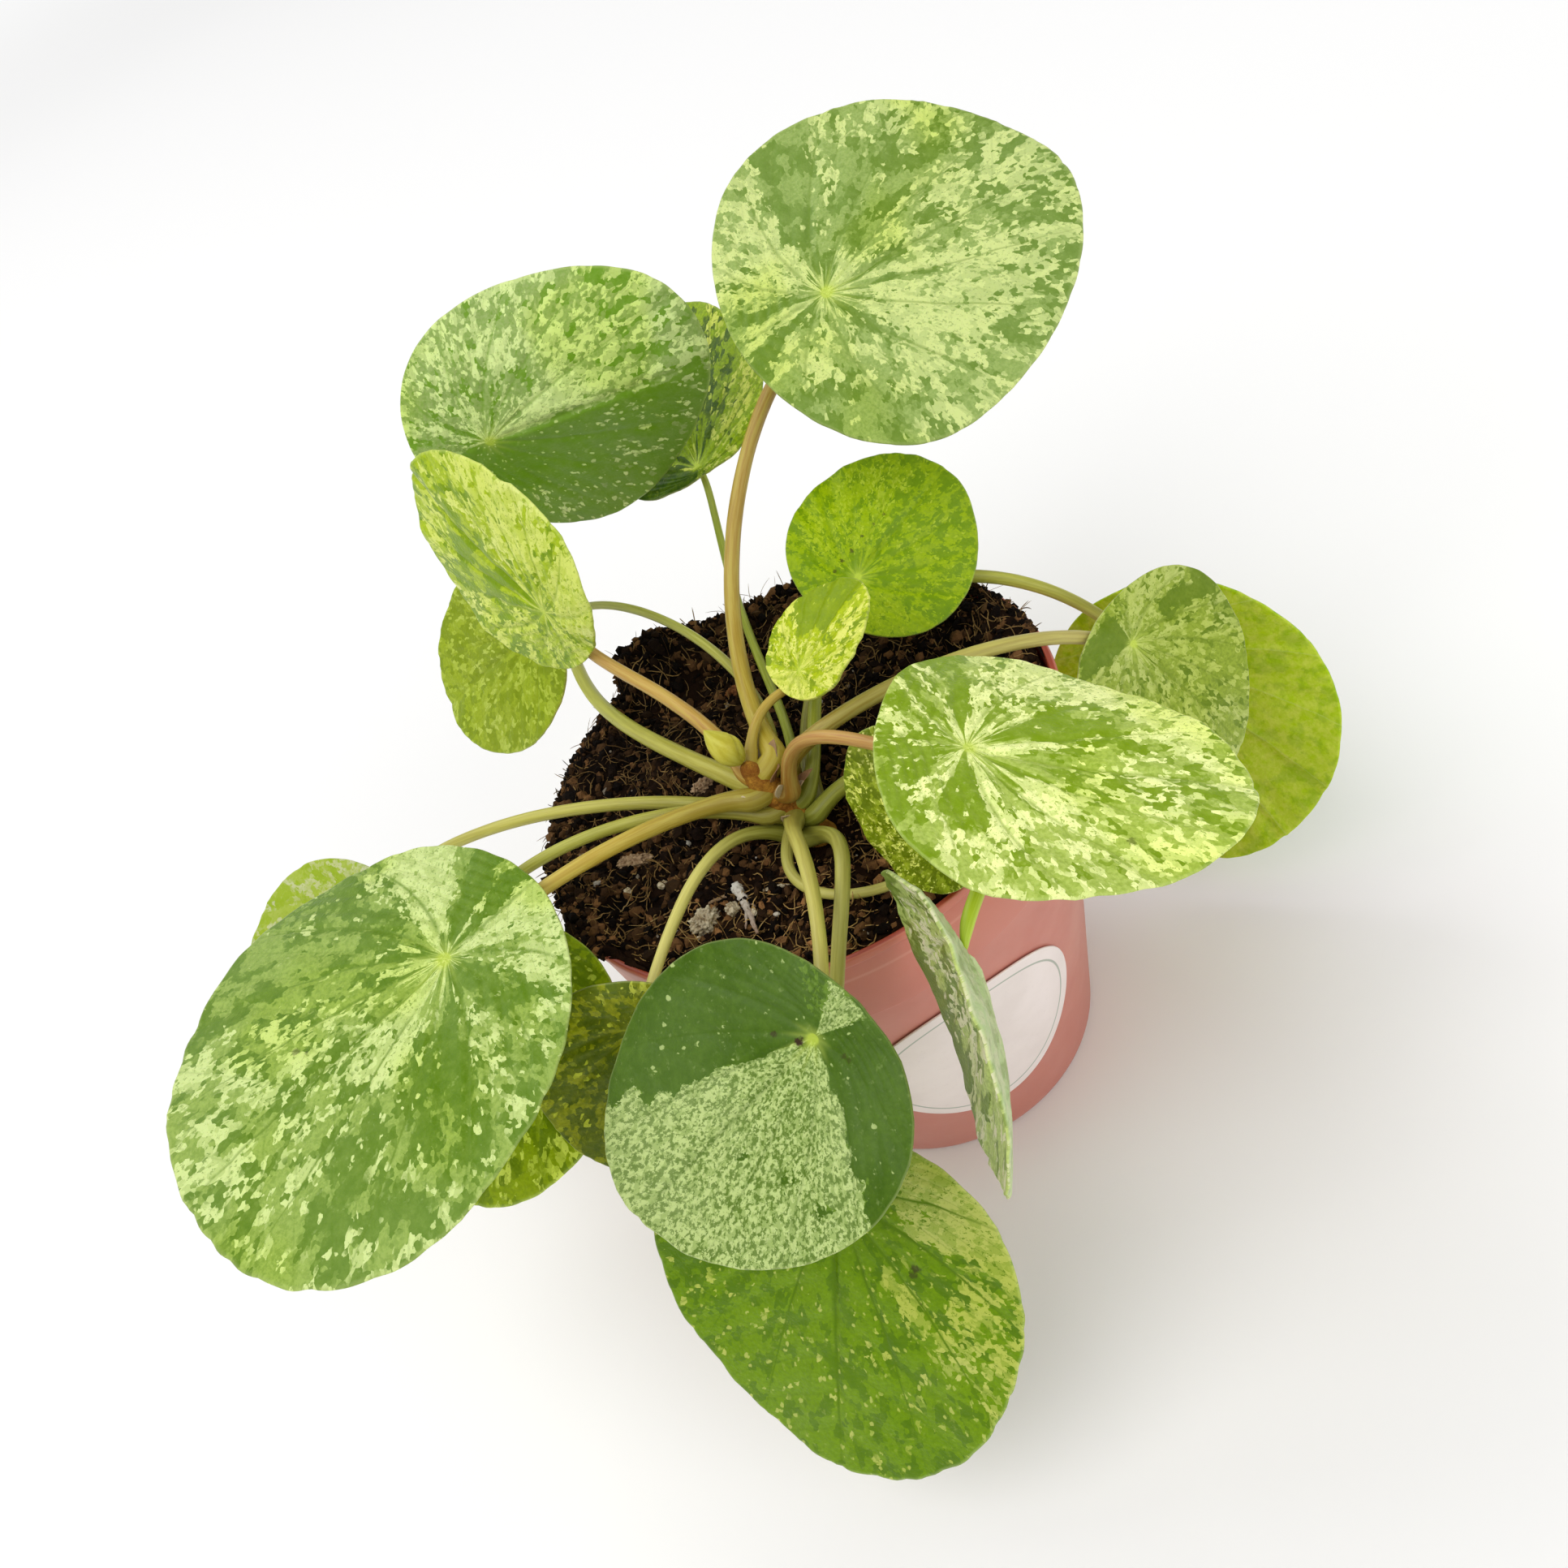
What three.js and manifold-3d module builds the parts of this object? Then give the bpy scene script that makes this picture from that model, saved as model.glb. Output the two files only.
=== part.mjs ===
// A peltate-leaved houseplant in a 12 cm nursery pot: pot, sticker, potting mix, stem, bud, leaves and leaf stalks.
// Millimetres, +Z up, origin at the centre of the pot's flat underside.
import * as THREE from "three";
import Module from "manifold-3d";

const wasm = await Module();
wasm.setup();

// ---- driving dimensions ----
const GAP = 0.3; // clearance left between pieces that touch
const SIDES = 48; // facets round the pot

const POT = {
  height: 105,
  baseRadius: 40,
  bodyRadius: 57, // outer radius of the body just under the collar
  collarZ: 84, // height of the collar's lower edge
  collarRadius: 58.2,
  rimRadius: 60,
  wall: 1,
  floor: 1.4,
  holes: 6,
  holeRadius: 3.5,
  holeCircle: 29, // radius of the circle the drain holes stand on
};

const STICKER = { radius: 27, azimuth: -85, z: 46, thickness: 0.6, spokes: 32, rings: 4 };

const MIX = { top: 102, spokes: 40, rings: 7, stemDip: 101.2 };

const STEM = {
  foot: [-3, -22, 101.5],
  head: [-9, -18, 125],
  radius: 3.6,
  sides: 14,
};

const BUD = { base: [-9.8, -17.2, 125.6], tip: [-14, -14, 134], radius: 2.3 };

const BLADE = { thickness: 0.9, spokes: 30, rings: [0.3, 0.58, 0.82, 1], ripple: 0.007 };

const STALK = { sides: 8, segments: 12, taper: 0.22, flare: 0.35, inset: 0.85 };

// Each blade: seat = where its stalk meets it; faces = azimuth and elevation, in degrees, of the way its upper face
// looks; tip = turn of its midrib in its own plane. Length and width over its outline, seatAt = the seat's share of
// the length from the base margin, egg = how much wider the base half is, skew shears the outline, lobes = third
// harmonic of the outline. arch bends it along the midrib, cup across it, cup2 across it unevenly, twist warps it and
// fold creases one half down along the midrib. ripple = number and phase of the rim's waves.
const BLADES = {
  top: { seat: [55, 44, 173.5], faces: [-86, 64], tip: -1, length: 81, width: 0.986, seatAt: 0.27, egg: 0.127,
    arch: -0.107, cup: -0.086, cup2: 0.3, twist: -0.033, fold: 0.014, skew: 0.068, lobes: [0.008, -0.002],
    ripple: [5, 0.4] },
  back_left: { seat: [-24.5, 80.5, 166.5], faces: [-100, 11], tip: -6, length: 72.4, width: 0.895, seatAt: 0.24,
    egg: 0.041, arch: -0.065, cup: -0.181, cup2: -0.3, twist: -0.015, fold: 0.76, skew: 0.043,
    lobes: [0.008, 0.057], ripple: [5, 1.1] },
  left_upright: { seat: [-31, 36, 146.5], faces: [-150, 6], tip: 139, length: 58, width: 0.944, seatAt: 0.235,
    egg: 0.069, arch: -0.129, cup: -0.103, cup2: 0.167, twist: -0.003, fold: 0.006, skew: 0.055,
    lobes: [-0.002, -0.002], ripple: [6, 2] },
  left_low: { seat: [-42, 83, 115], faces: [-138, 43], tip: -150, length: 51, width: 0.964, seatAt: 0.184,
    egg: 0.076, arch: -0.107, cup: 0.009, cup2: -0.038, twist: 0.012, fold: -0.006, skew: 0.047, lobes: [0, 0.004],
    ripple: [5, 3.1] },
  back_middle: { seat: [16, 86.5, 130], faces: [-146, 60], tip: 123, length: 53.8, width: 0.939, seatAt: 0.1,
    egg: 0.061, arch: -0.048, cup: 0.068, cup2: -0.035, twist: -0.024, fold: -0.014, skew: -0.019,
    lobes: [0.08, -0.012], ripple: [6, 0] },
  round_back: { seat: [32, 17, 125.5], faces: [-85, 51], tip: 18, length: 43.2, width: 0.962, seatAt: 0.26,
    egg: 0.088, arch: -0.06, cup: -0.096, cup2: 0, twist: 0.011, fold: 0.005, skew: 0, lobes: [0.006, 0.017],
    ripple: [5, 1.7] },
  young: { seat: [10, -7.5, 130.5], faces: [-163, 64], tip: 90, length: 27.4, width: 0.941, seatAt: 0.212,
    egg: 0.106, arch: -0.111, cup: 0.09, cup2: -0.036, twist: -0.037, fold: -0.01, skew: 0, lobes: [0.021, -0.008],
    ripple: [4, 0.8] },
  right_front: { seat: [27, -57.5, 136], faces: [-26, 59], tip: -92, length: 66.4, width: 0.968, seatAt: 0.259,
    egg: 0.087, arch: 0.115, cup: -0.203, cup2: -0.224, twist: -0.13, fold: 0, skew: -0.003,
    lobes: [0.028, -0.014], ripple: [6, 2.4] },
  right_back: { seat: [73.5, -20, 102], faces: [-74, 37], tip: -76, length: 44.4, width: 0.97, seatAt: 0.213,
    egg: 0.133, arch: -0.291, cup: -0.041, cup2: 0.008, twist: -0.036, fold: -0.001, skew: -0.074,
    lobes: [0.035, -0.026], ripple: [5, 0.2] },
  right_hanging: { seat: [83, 9.5, 68], faces: [52, -11], tip: -119, length: 76.8, width: 0.933, seatAt: 0.23,
    egg: 0.031, arch: -0.115, cup: -0.066, cup2: -0.011, twist: -0.041, fold: 0.002, skew: 0.138,
    lobes: [-0.015, 0.003], ripple: [6, 1.3] },
  right_under: { seat: [16.5, -57, 118], faces: [-140, 39], tip: 149, length: 35, width: 0.8, seatAt: 0.234,
    egg: 0.07, arch: -0.097, cup: -0.35, cup2: -0.13, twist: -0.094, fold: 0, skew: -0.089, lobes: [0, 0],
    ripple: [5, 2.9] },
  front_hanging: { seat: [7.5, -86, 124], faces: [180, 1], tip: -71, length: 53.6, width: 1.037, seatAt: 0.254,
    egg: 0.084, arch: 0.42, cup: 0.3, cup2: 0.092, twist: 0.13, fold: -0.075, skew: 0.11, lobes: [0, -0.016],
    ripple: [5, 0.9] },
  front: { seat: [-20.5, -84, 121], faces: [-125, 48], tip: -140, length: 60.8, width: 0.95, seatAt: 0.174,
    egg: 0.078, arch: -0.014, cup: -0.097, cup2: 0.3, twist: 0.023, fold: 0.006, skew: -0.096, lobes: [0.017, 0],
    ripple: [5, 2.2] },
  bottom: { seat: [-35.5, -84.5, 78.5], faces: [-121, 34], tip: -102, length: 77.2, width: 0.959, seatAt: 0.206,
    egg: 0.109, arch: -0.038, cup: -0.021, cup2: -0.017, twist: 0.07, fold: 0.005, skew: 0.108,
    lobes: [0.012, 0.026], ripple: [6, 0.5] },
  left_large: { seat: [-78, -27, 128.5], faces: [-74, 79], tip: -178, length: 87.4, width: 1.027, seatAt: 0.245,
    egg: 0.058, arch: -0.068, cup: -0.207, cup2: 0.194, twist: -0.13, fold: -0.004, skew: 0.052,
    lobes: [-0.024, 0.015], ripple: [6, 1.9] },
  left_behind: { seat: [-104.5, 25, 110.5], faces: [-124, 55], tip: -124, length: 54, width: 0.939, seatAt: 0.186,
    egg: 0.074, arch: -0.102, cup: -0.043, cup2: -0.011, twist: 0, fold: -0.003, skew: -0.039, lobes: [0, 0.007],
    ripple: [5, 0.1] },
  front_left: { seat: [-52, -51, 109], faces: [-106, 29], tip: -115, length: 43.5, width: 0.976, seatAt: 0.235,
    egg: 0.082, arch: -0.123, cup: -0.045, cup2: -0.011, twist: -0.017, fold: -0.005, skew: -0.024,
    lobes: [0.003, 0], ripple: [5, 2.6] },
  left_under: { seat: [-70, -18.5, 111], faces: [-114, 57], tip: -111, length: 59.8, width: 0.893, seatAt: 0.143,
    egg: 0.086, arch: -0.054, cup: -0.077, cup2: -0.011, twist: -0.015, fold: 0, skew: -0.041, lobes: [0.005, 0],
    ripple: [6, 1.5] },
};

// Each stalk: where it leaves the stem (azimuth in degrees, height, extra distance from the stem), its radius near
// the stem, and the three points that draw its curve on the way to its blade's seat. inset, where given, is how far under the seat it stops.
const STALKS = {
  top: { leaves: [27, 121.9, -0.25], radius: 1.9, via: [[-4, 37, 126], [38, 59, 172], [54, 51, 159]] },
  back_left: { leaves: [124, 115, 0.4], radius: 1.9, inset: 2.6, via: [[-53, 65, 120], [-37, 100, 65], [-19, 124, 156]] },
  left_upright: { leaves: [113, 121, -0.25], radius: 1.7, via: [[-14, 25, 131], [-42, 40, 129], [-22, 41, 145]] },
  left_low: { leaves: [70, 117, -0.3], radius: 1.2, via: [[14, 12, 123], [-24, 66, 144], [-33, 92, 104]] },
  back_middle: { leaves: [82, 109.5, -0.35], radius: 1.2, via: [[10, 14, 104], [-3, 50, 102], [18, 92, 114]] },
  round_back: { leaves: [-8, 112.5, -0.6], radius: 1.5, via: [[8, -19, 120], [12, 14, 123], [31, 23, 118]] },
  young: { leaves: [64, 124, 0], radius: 1.1, inset: 1, via: [[-1, -7, 130], [7, -3, 127], [14, -6, 122]] },
  right_front: { leaves: [-49, 118, -0.25], radius: 1.5, via: [[1, -23, 135], [9, -33, 139], [23, -56, 128]] },
  right_back: { leaves: [40, 115.4, -0.35], radius: 1.8, via: [[-3, -21, 131], [61, -19, 129], [70, -10, 95]] },
  right_hanging: { leaves: [32, 107.8, -0.5], radius: 1.7, via: [[14, 44, 114], [68, 20, 138], [86, -10, 78]] },
  right_under: { leaves: [-145, 107.6, -0.3], radius: 1.2, via: [[-23, -43, 109], [4, -52, 99], [22, -52, 111]] },
  front_hanging: { leaves: [-38, 109, -0.7], radius: 1.6, via: [[25, -22, 123], [45, -64, 116], [19, -73, 132]] },
  front: { leaves: [-102, 111.2, -0.3], radius: 1.6, via: [[-9, -42, 123], [-3, -53, 129], [-18, -77, 114]] },
  bottom: { leaves: [-101, 106.4, -0.45], radius: 1.6, via: [[10, -53, 127], [-13, -63, 126], [-31, -76, 72]] },
  left_large: { leaves: [-170, 118.4, -0.2], radius: 1.8, via: [[-23, -14, 122], [-73, -16, 129], [-79, -24, 118]] },
  left_behind: { leaves: [150, 109.9, 0.45], radius: 1.5, via: [[-45, 10, 127], [-98, 23, 126], [-99, 33, 96]] },
  front_left: { leaves: [175, 105.8, 0.25], radius: 1.4, via: [[-21, -19, 118], [-32, -29, 117], [-50, -43, 105]] },
  left_under: { leaves: [-174, 113, -0.2], radius: 1.5, via: [[-45, 6, 127], [-108, -1, 117], [-68, -13, 103]] },
};

// ---- small helpers ----
const vec = (p) => new THREE.Vector3(...p);
const rad = (degrees) => (degrees * Math.PI) / 180;
const root = new THREE.Group();

function add(name, geometry, color, roughness = 0.5) {
  const material = new THREE.MeshStandardMaterial({ color, roughness, metalness: 0 });
  const mesh = new THREE.Mesh(geometry, material);
  mesh.name = name;
  root.add(mesh);
}

function fromLists(points, faces) {
  const geometry = new THREE.BufferGeometry();
  geometry.setAttribute("position", new THREE.Float32BufferAttribute(points.flat(), 3));
  geometry.setIndex(faces.flat());
  geometry.computeVertexNormals();
  return geometry;
}

// A closed body through a stack of rings with equal point counts, each ring anticlockwise seen from the far end.
function fromRings(rings) {
  const count = rings[0].length;
  const points = rings.flat();
  const faces = [];
  for (let i = 0; i < rings.length - 1; i += 1) {
    for (let j = 0; j < count; j += 1) {
      const a = i * count + j;
      const b = i * count + ((j + 1) % count);
      faces.push([a, b, b + count], [a, b + count, a + count]);
    }
  }
  const middle = (ring) => [0, 1, 2].map((axis) => ring.reduce((sum, p) => sum + p[axis], 0) / count);
  const first = points.push(middle(rings[0])) - 1;
  const last = points.push(middle(rings[rings.length - 1])) - 1;
  const top = (rings.length - 1) * count;
  for (let j = 0; j < count; j += 1) {
    const next = (j + 1) % count;
    faces.push([first, next, j], [last, top + j, top + next]);
  }
  return fromLists(points, faces);
}

// A plate with two like faces: rows of points from a middle point outwards, upper(row, spoke) and lower(row, spoke).
function plate(rows, spokes, upper, lower) {
  const points = [];
  const faces = [];
  for (const face of [upper, lower]) {
    points.push(face(-1, 0));
    for (let i = 0; i < rows; i += 1) {
      for (let j = 0; j < spokes; j += 1) points.push(face(i, j));
    }
  }
  const half = 1 + rows * spokes;
  const at = (i, j) => 1 + i * spokes + (j % spokes);
  for (let j = 0; j < spokes; j += 1) {
    faces.push([0, at(0, j), at(0, j + 1)], [half, half + at(0, j + 1), half + at(0, j)]);
    for (let i = 0; i < rows - 1; i += 1) {
      const a = at(i, j);
      const b = at(i, j + 1);
      const c = at(i + 1, j + 1);
      const d = at(i + 1, j);
      faces.push([a, d, c], [a, c, b], [half + a, half + c, half + d], [half + a, half + b, half + c]);
    }
    const a = at(rows - 1, j);
    const b = at(rows - 1, j + 1);
    faces.push([a, half + a, half + b], [a, half + b, b]);
  }
  return fromLists(points, faces);
}

// ---- pot ----
const bodySlope = (POT.bodyRadius - POT.baseRadius) / POT.collarZ;
const bodyRadius = (z) => POT.baseRadius + bodySlope * z;

function potShell() {
  const w = POT.wall;
  const collarTop = POT.height;
  const profile = [
    [0, 0],
    [POT.baseRadius - 1.2, 0],
    [POT.baseRadius, 1.2],
    [bodyRadius(28), 28],
    [bodyRadius(56), 56],
    [POT.bodyRadius, POT.collarZ],
    [POT.collarRadius, POT.collarZ + 0.6],
    [POT.rimRadius - 0.5, collarTop - 2.4],
    [POT.rimRadius, collarTop - 1.8],
    [POT.rimRadius, collarTop - 0.5],
    [POT.rimRadius - 0.5, collarTop],
    [POT.rimRadius - w - 0.4, collarTop],
    [POT.rimRadius - w - 0.7, collarTop - 0.6],
    [POT.collarRadius - w, POT.collarZ + 1.6],
    [POT.bodyRadius - w, POT.collarZ - 0.4],
    [bodyRadius(42) - w, 42],
    [bodyRadius(3.4) - w, 3.4],
    [bodyRadius(POT.floor) - w - 1.6, POT.floor],
    [0, POT.floor],
  ];
  const lathe = new THREE.LatheGeometry(profile.map(([r, z]) => new THREE.Vector2(r, z)), SIDES);
  lathe.rotateX(Math.PI / 2);
  return lathe;
}

function toSolid(geometry) {
  const keys = new Map();
  const points = [];
  const place = geometry.getAttribute("position");
  const index = Array.from(geometry.index.array, (i) => {
    const p = [place.getX(i), place.getY(i), place.getZ(i)];
    const key = p.map((value) => Math.round(value * 1e4)).join();
    if (!keys.has(key)) {
      keys.set(key, points.length / 3);
      points.push(...p);
    }
    return keys.get(key);
  });
  const faces = [];
  for (let i = 0; i < index.length; i += 3) {
    const [a, b, c] = index.slice(i, i + 3);
    if (a !== b && b !== c && c !== a) faces.push(a, b, c);
  }
  const mesh = new wasm.Mesh({
    numProp: 3,
    vertProperties: new Float32Array(points),
    triVerts: new Uint32Array(faces),
  });
  return new wasm.Manifold(mesh);
}

function fromSolid(solid) {
  const mesh = solid.getMesh();
  const geometry = new THREE.BufferGeometry();
  const points = [];
  for (let i = 0; i < mesh.numVert; i += 1) {
    points.push(...mesh.vertProperties.slice(i * mesh.numProp, i * mesh.numProp + 3));
  }
  geometry.setAttribute("position", new THREE.Float32BufferAttribute(points, 3));
  geometry.setIndex(Array.from(mesh.triVerts));
  geometry.computeVertexNormals();
  return geometry;
}

// The drain holes stand in a ring near the edge of the floor, so the middle of the underside stays whole.
let pot = toSolid(potShell());
for (let i = 0; i < POT.holes; i += 1) {
  const angle = rad((i * 360) / POT.holes + 15);
  const hole = wasm.Manifold.cylinder(POT.floor + 2, POT.holeRadius, POT.holeRadius, 16);
  pot = pot.subtract(hole.translate([POT.holeCircle * Math.cos(angle), POT.holeCircle * Math.sin(angle), -1]));
}
add("pot", fromSolid(pot), "#c87a6c", 0.45);

// ---- sticker: a round label that follows the tapered wall ----
function stickerPoint(depth) {
  const tilt = Math.atan(bodySlope);
  return (row, spoke) => {
    const share = row < 0 ? 0 : (row + 1) / STICKER.rings;
    const turn = (spoke * 2 * Math.PI) / STICKER.spokes;
    const across = STICKER.radius * share * Math.cos(turn);
    const up = STICKER.radius * share * Math.sin(turn);
    const z = STICKER.z + up * Math.cos(tilt) - depth * Math.sin(tilt);
    const r = bodyRadius(STICKER.z + up * Math.cos(tilt)) + depth * Math.cos(tilt);
    const angle = rad(STICKER.azimuth) + across / bodyRadius(STICKER.z);
    return [r * Math.cos(angle), r * Math.sin(angle), z];
  };
}
const outside = stickerPoint(GAP + 0.15 + STICKER.thickness);
const inside = stickerPoint(GAP + 0.15);
add("sticker", plate(STICKER.rings, STICKER.spokes, outside, inside), "#e0d6cf", 0.6);

// ---- potting mix: fills the pot, with a rough crumbly top ----
function mixHeight(x, y) {
  const waves = 0.8 * Math.sin(x / 9 + 1) * Math.cos(y / 7) + 0.45 * Math.sin((x + y) / 4.3)
    + 0.35 * Math.cos((x - 1.7 * y) / 5.1);
  const away = Math.hypot(x - STEM.foot[0], y - STEM.foot[1]);
  const blend = Math.min(Math.max((away - 7) / 12, 0), 1);
  return MIX.stemDip + blend * (MIX.top - MIX.stemDip + waves);
}

function mixBody() {
  const topRadius = POT.rimRadius - POT.wall - 1.7;
  const wall = (z, inset) => {
    const r = z < POT.collarZ ? bodyRadius(z) - POT.wall - 0.5 : POT.collarRadius - POT.wall - 0.5;
    return r - inset;
  };
  const ring = (r, height) => Array.from({ length: MIX.spokes }, (_, j) => {
    const angle = (j * 2 * Math.PI) / MIX.spokes;
    const x = r * Math.cos(angle);
    const y = r * Math.sin(angle);
    return [x, y, height(x, y)];
  });
  const rings = [
    ring(wall(POT.floor + 3, 2.4), () => POT.floor + GAP + 0.1),
    ring(wall(POT.floor + 3, 0), () => POT.floor + 3),
    ring(wall(45, 0), () => 45),
    ring(wall(POT.collarZ - 2, 0), () => POT.collarZ - 2),
    ring(wall(POT.collarZ + 2, 0), () => POT.collarZ + 3),
    ring(topRadius, (x, y) => mixHeight(x, y) - 1.2),
    ring(topRadius - 1.5, mixHeight),
  ];
  for (let i = MIX.rings - 1; i > 0; i -= 1) rings.push(ring((i * (topRadius - 1.5)) / MIX.rings, mixHeight));
  return fromRings(rings);
}
add("potting_mix", mixBody(), "#3b2519", 1);

// ---- stem: a short leaning trunk with a ridge for each old leaf scar ----
const stemFoot = vec(STEM.foot);
const stemHead = vec(STEM.head);
const stemAxis = (z) => {
  const share = (z - stemFoot.z) / (stemHead.z - stemFoot.z);
  return stemFoot.clone().lerp(stemHead, share);
};

function stemBody() {
  const steps = 15;
  const rings = [];
  for (let i = 0; i <= steps; i += 1) {
    const share = i / steps;
    const centre = stemFoot.clone().lerp(stemHead, share);
    const ridge = i % 3 === 1 ? 0 : -0.35;
    const close = share > 0.85 ? 1 - ((share - 0.85) / 0.15) ** 2 * 0.55 : 1;
    const r = (STEM.radius + ridge) * close;
    const ring = [];
    for (let j = 0; j < STEM.sides; j += 1) {
      const angle = (j * 2 * Math.PI) / STEM.sides;
      ring.push([centre.x + r * Math.cos(angle), centre.y + r * Math.sin(angle), centre.z]);
    }
    rings.push(ring);
  }
  return fromRings(rings);
}
add("stem", stemBody(), "#6b4a33", 0.9);

// ---- curved, tapering rods ----
class Path extends THREE.Curve {
  constructor(points) {
    super();
    this.points = points;
  }

  getPoint(t, target = new THREE.Vector3()) {
    let level = this.points.map((p) => p.clone());
    while (level.length > 1) level = level.slice(1).map((p, i) => level[i].clone().lerp(p, t));
    return target.copy(level[0]);
  }
}

function rod(path, sides, segments, radiusAt, endNormal) {
  const frames = path.computeFrenetFrames(segments, false);
  const rings = [];
  for (let i = 0; i <= segments; i += 1) {
    const share = i / segments;
    const centre = path.getPointAt(share);
    const tangent = i === segments && endNormal ? endNormal.clone() : frames.tangents[i];
    const normal = frames.normals[i].clone().addScaledVector(tangent, -frames.normals[i].dot(tangent)).normalize();
    const side = tangent.clone().cross(normal);
    const r = radiusAt(share);
    const ring = [];
    for (let j = 0; j < sides; j += 1) {
      const angle = (j * 2 * Math.PI) / sides;
      const p = centre.clone().addScaledVector(normal, r * Math.cos(angle)).addScaledVector(side, r * Math.sin(angle));
      ring.push(p.toArray());
    }
    rings.push(ring);
  }
  return fromRings(rings);
}

// ---- bud: one leaf still rolled up ----
const budBase = vec(BUD.base);
const budTip = vec(BUD.tip);
const budPath = new Path([budBase, budBase.clone().lerp(budTip, 0.5).add(vec([-0.8, 0.4, 0.6])), budTip]);
add("bud", rod(budPath, 10, 8, (s) => BUD.radius * (0.28 + 0.72 * Math.sin(Math.PI * s ** 0.8)), null), "#c9d35a", 0.45);

// ---- blades ----
function bladeAxes(blade) {
  const [azimuth, elevation] = blade.faces.map(rad);
  const flat = Math.cos(elevation);
  const normal = vec([flat * Math.cos(azimuth), flat * Math.sin(azimuth), Math.sin(elevation)]);
  const level = new THREE.Vector3(0, 0, 1).cross(normal).normalize();
  const up = normal.clone().cross(level);
  const tip = level.multiplyScalar(Math.cos(rad(blade.tip))).addScaledVector(up, Math.sin(rad(blade.tip)));
  return { normal, tip, side: normal.clone().cross(tip) };
}

function bladeOutline(blade, turn) {
  const half = blade.length / 2;
  const swell = 1 + blade.lobes[0] * Math.cos(3 * turn) + blade.lobes[1] * Math.sin(3 * turn);
  const x = half * swell * (Math.cos(turn) + blade.skew * Math.sin(turn)) + half - blade.seatAt * blade.length;
  const y = half * blade.width * swell * Math.sin(turn) * (1 - blade.egg * Math.cos(turn));
  return [x, y];
}

function bladeHeight(blade, x, y, turn, share) {
  const u = x / blade.length;
  const v = y / blade.length;
  const crease = (Math.sqrt(v * v + 0.0009) - v) / 2;
  const [waves, phase] = blade.ripple;
  const rim = BLADE.ripple * share ** 3 * Math.cos(waves * turn + phase);
  return blade.length * (blade.arch * u * u + blade.cup * v * v + blade.cup2 * v * Math.abs(v) + blade.twist * u * v
    - blade.fold * crease + rim);
}

function bladeFace(blade, offset) {
  const { normal, tip, side } = bladeAxes(blade);
  return (row, spoke) => {
    const share = row < 0 ? 0 : BLADE.rings[row];
    const turn = (spoke * 2 * Math.PI) / BLADE.spokes;
    const [x, y] = bladeOutline(blade, turn).map((value) => value * share);
    const height = bladeHeight(blade, x, y, turn, share) + offset;
    return vec(blade.seat).addScaledVector(tip, x).addScaledVector(side, y).addScaledVector(normal, height).toArray();
  };
}

for (const [name, blade] of Object.entries(BLADES)) {
  const half = BLADE.thickness / 2;
  add("leaf_" + name, plate(BLADE.rings.length, BLADE.spokes, bladeFace(blade, half), bladeFace(blade, -half)),
    "#8fb04a", 0.4);
}

// ---- stalks ----
function stalkPath(stalk, blade) {
  const [azimuth, z, shift] = stalk.leaves;
  const axis = stemAxis(z);
  const first = vec(stalk.via[0]);
  const outward = vec([Math.cos(rad(azimuth)), Math.sin(rad(azimuth)), 0]);
  const base = axis.clone().addScaledVector(outward, STEM.radius + stalk.radius);
  for (let i = 0; i < 3; i += 1) {
    const start = first.clone().sub(base).normalize();
    const lean = Math.sqrt(1 - start.dot(outward) ** 2);
    base.copy(axis).addScaledVector(outward, STEM.radius + GAP + shift + (1 + STALK.flare) * stalk.radius * lean);
  }
  const end = vec(blade.seat).addScaledVector(bladeAxes(blade).normal, -(stalk.inset ?? STALK.inset));
  return new Path([base, ...stalk.via.map(vec), end]);
}

for (const [name, stalk] of Object.entries(STALKS)) {
  const blade = BLADES[name];
  const radiusAt = (s) => stalk.radius * (1 - STALK.taper * s + STALK.flare * Math.exp(-s / 0.05));
  add("stalk_" + name, rod(stalkPath(stalk, blade), STALK.sides, STALK.segments, radiusAt, bladeAxes(blade).normal),
    "#b6bd58", 0.45);
}

export default root;
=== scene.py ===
"""A peltate-leaved houseplant with marbled round leaves, in a tapered nursery pot filled with potting mix.

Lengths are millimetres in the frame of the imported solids: +Z up, origin at the centre of the pot's underside. Meshes
and materials are in metres. Angles in the tables are degrees.
"""

import bpy
import numpy as np
from bpy.props import FloatProperty, FloatVectorProperty, IntProperty, PointerProperty
from mathutils import Matrix


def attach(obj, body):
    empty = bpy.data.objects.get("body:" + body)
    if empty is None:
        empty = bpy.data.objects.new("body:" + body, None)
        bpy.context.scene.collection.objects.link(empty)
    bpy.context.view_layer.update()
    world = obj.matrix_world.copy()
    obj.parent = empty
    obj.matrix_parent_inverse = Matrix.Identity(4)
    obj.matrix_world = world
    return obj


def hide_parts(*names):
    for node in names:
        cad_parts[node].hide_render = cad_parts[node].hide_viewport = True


bl_info = {
    "name": "Potted marbled houseplant",
    "version": (1, 0, 0),
    "blender": (4, 5, 0),
    "location": "View3D > Sidebar > Plant",
    "description": "Grows a potted houseplant with round marbled leaves over its packed solids",
    "category": "Add Mesh",
}

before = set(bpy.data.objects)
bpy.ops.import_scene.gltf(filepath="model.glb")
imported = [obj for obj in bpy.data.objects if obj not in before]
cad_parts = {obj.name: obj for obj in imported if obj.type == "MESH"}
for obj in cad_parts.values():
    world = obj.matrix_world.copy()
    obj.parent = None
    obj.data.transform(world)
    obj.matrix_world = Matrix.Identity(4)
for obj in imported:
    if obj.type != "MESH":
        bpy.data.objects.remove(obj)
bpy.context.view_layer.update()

MM = 0.001
TURN = 2 * np.pi
UP = np.array([0.0, 0.0, 1.0])

# ---- shapes, as the solids have them ----

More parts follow.
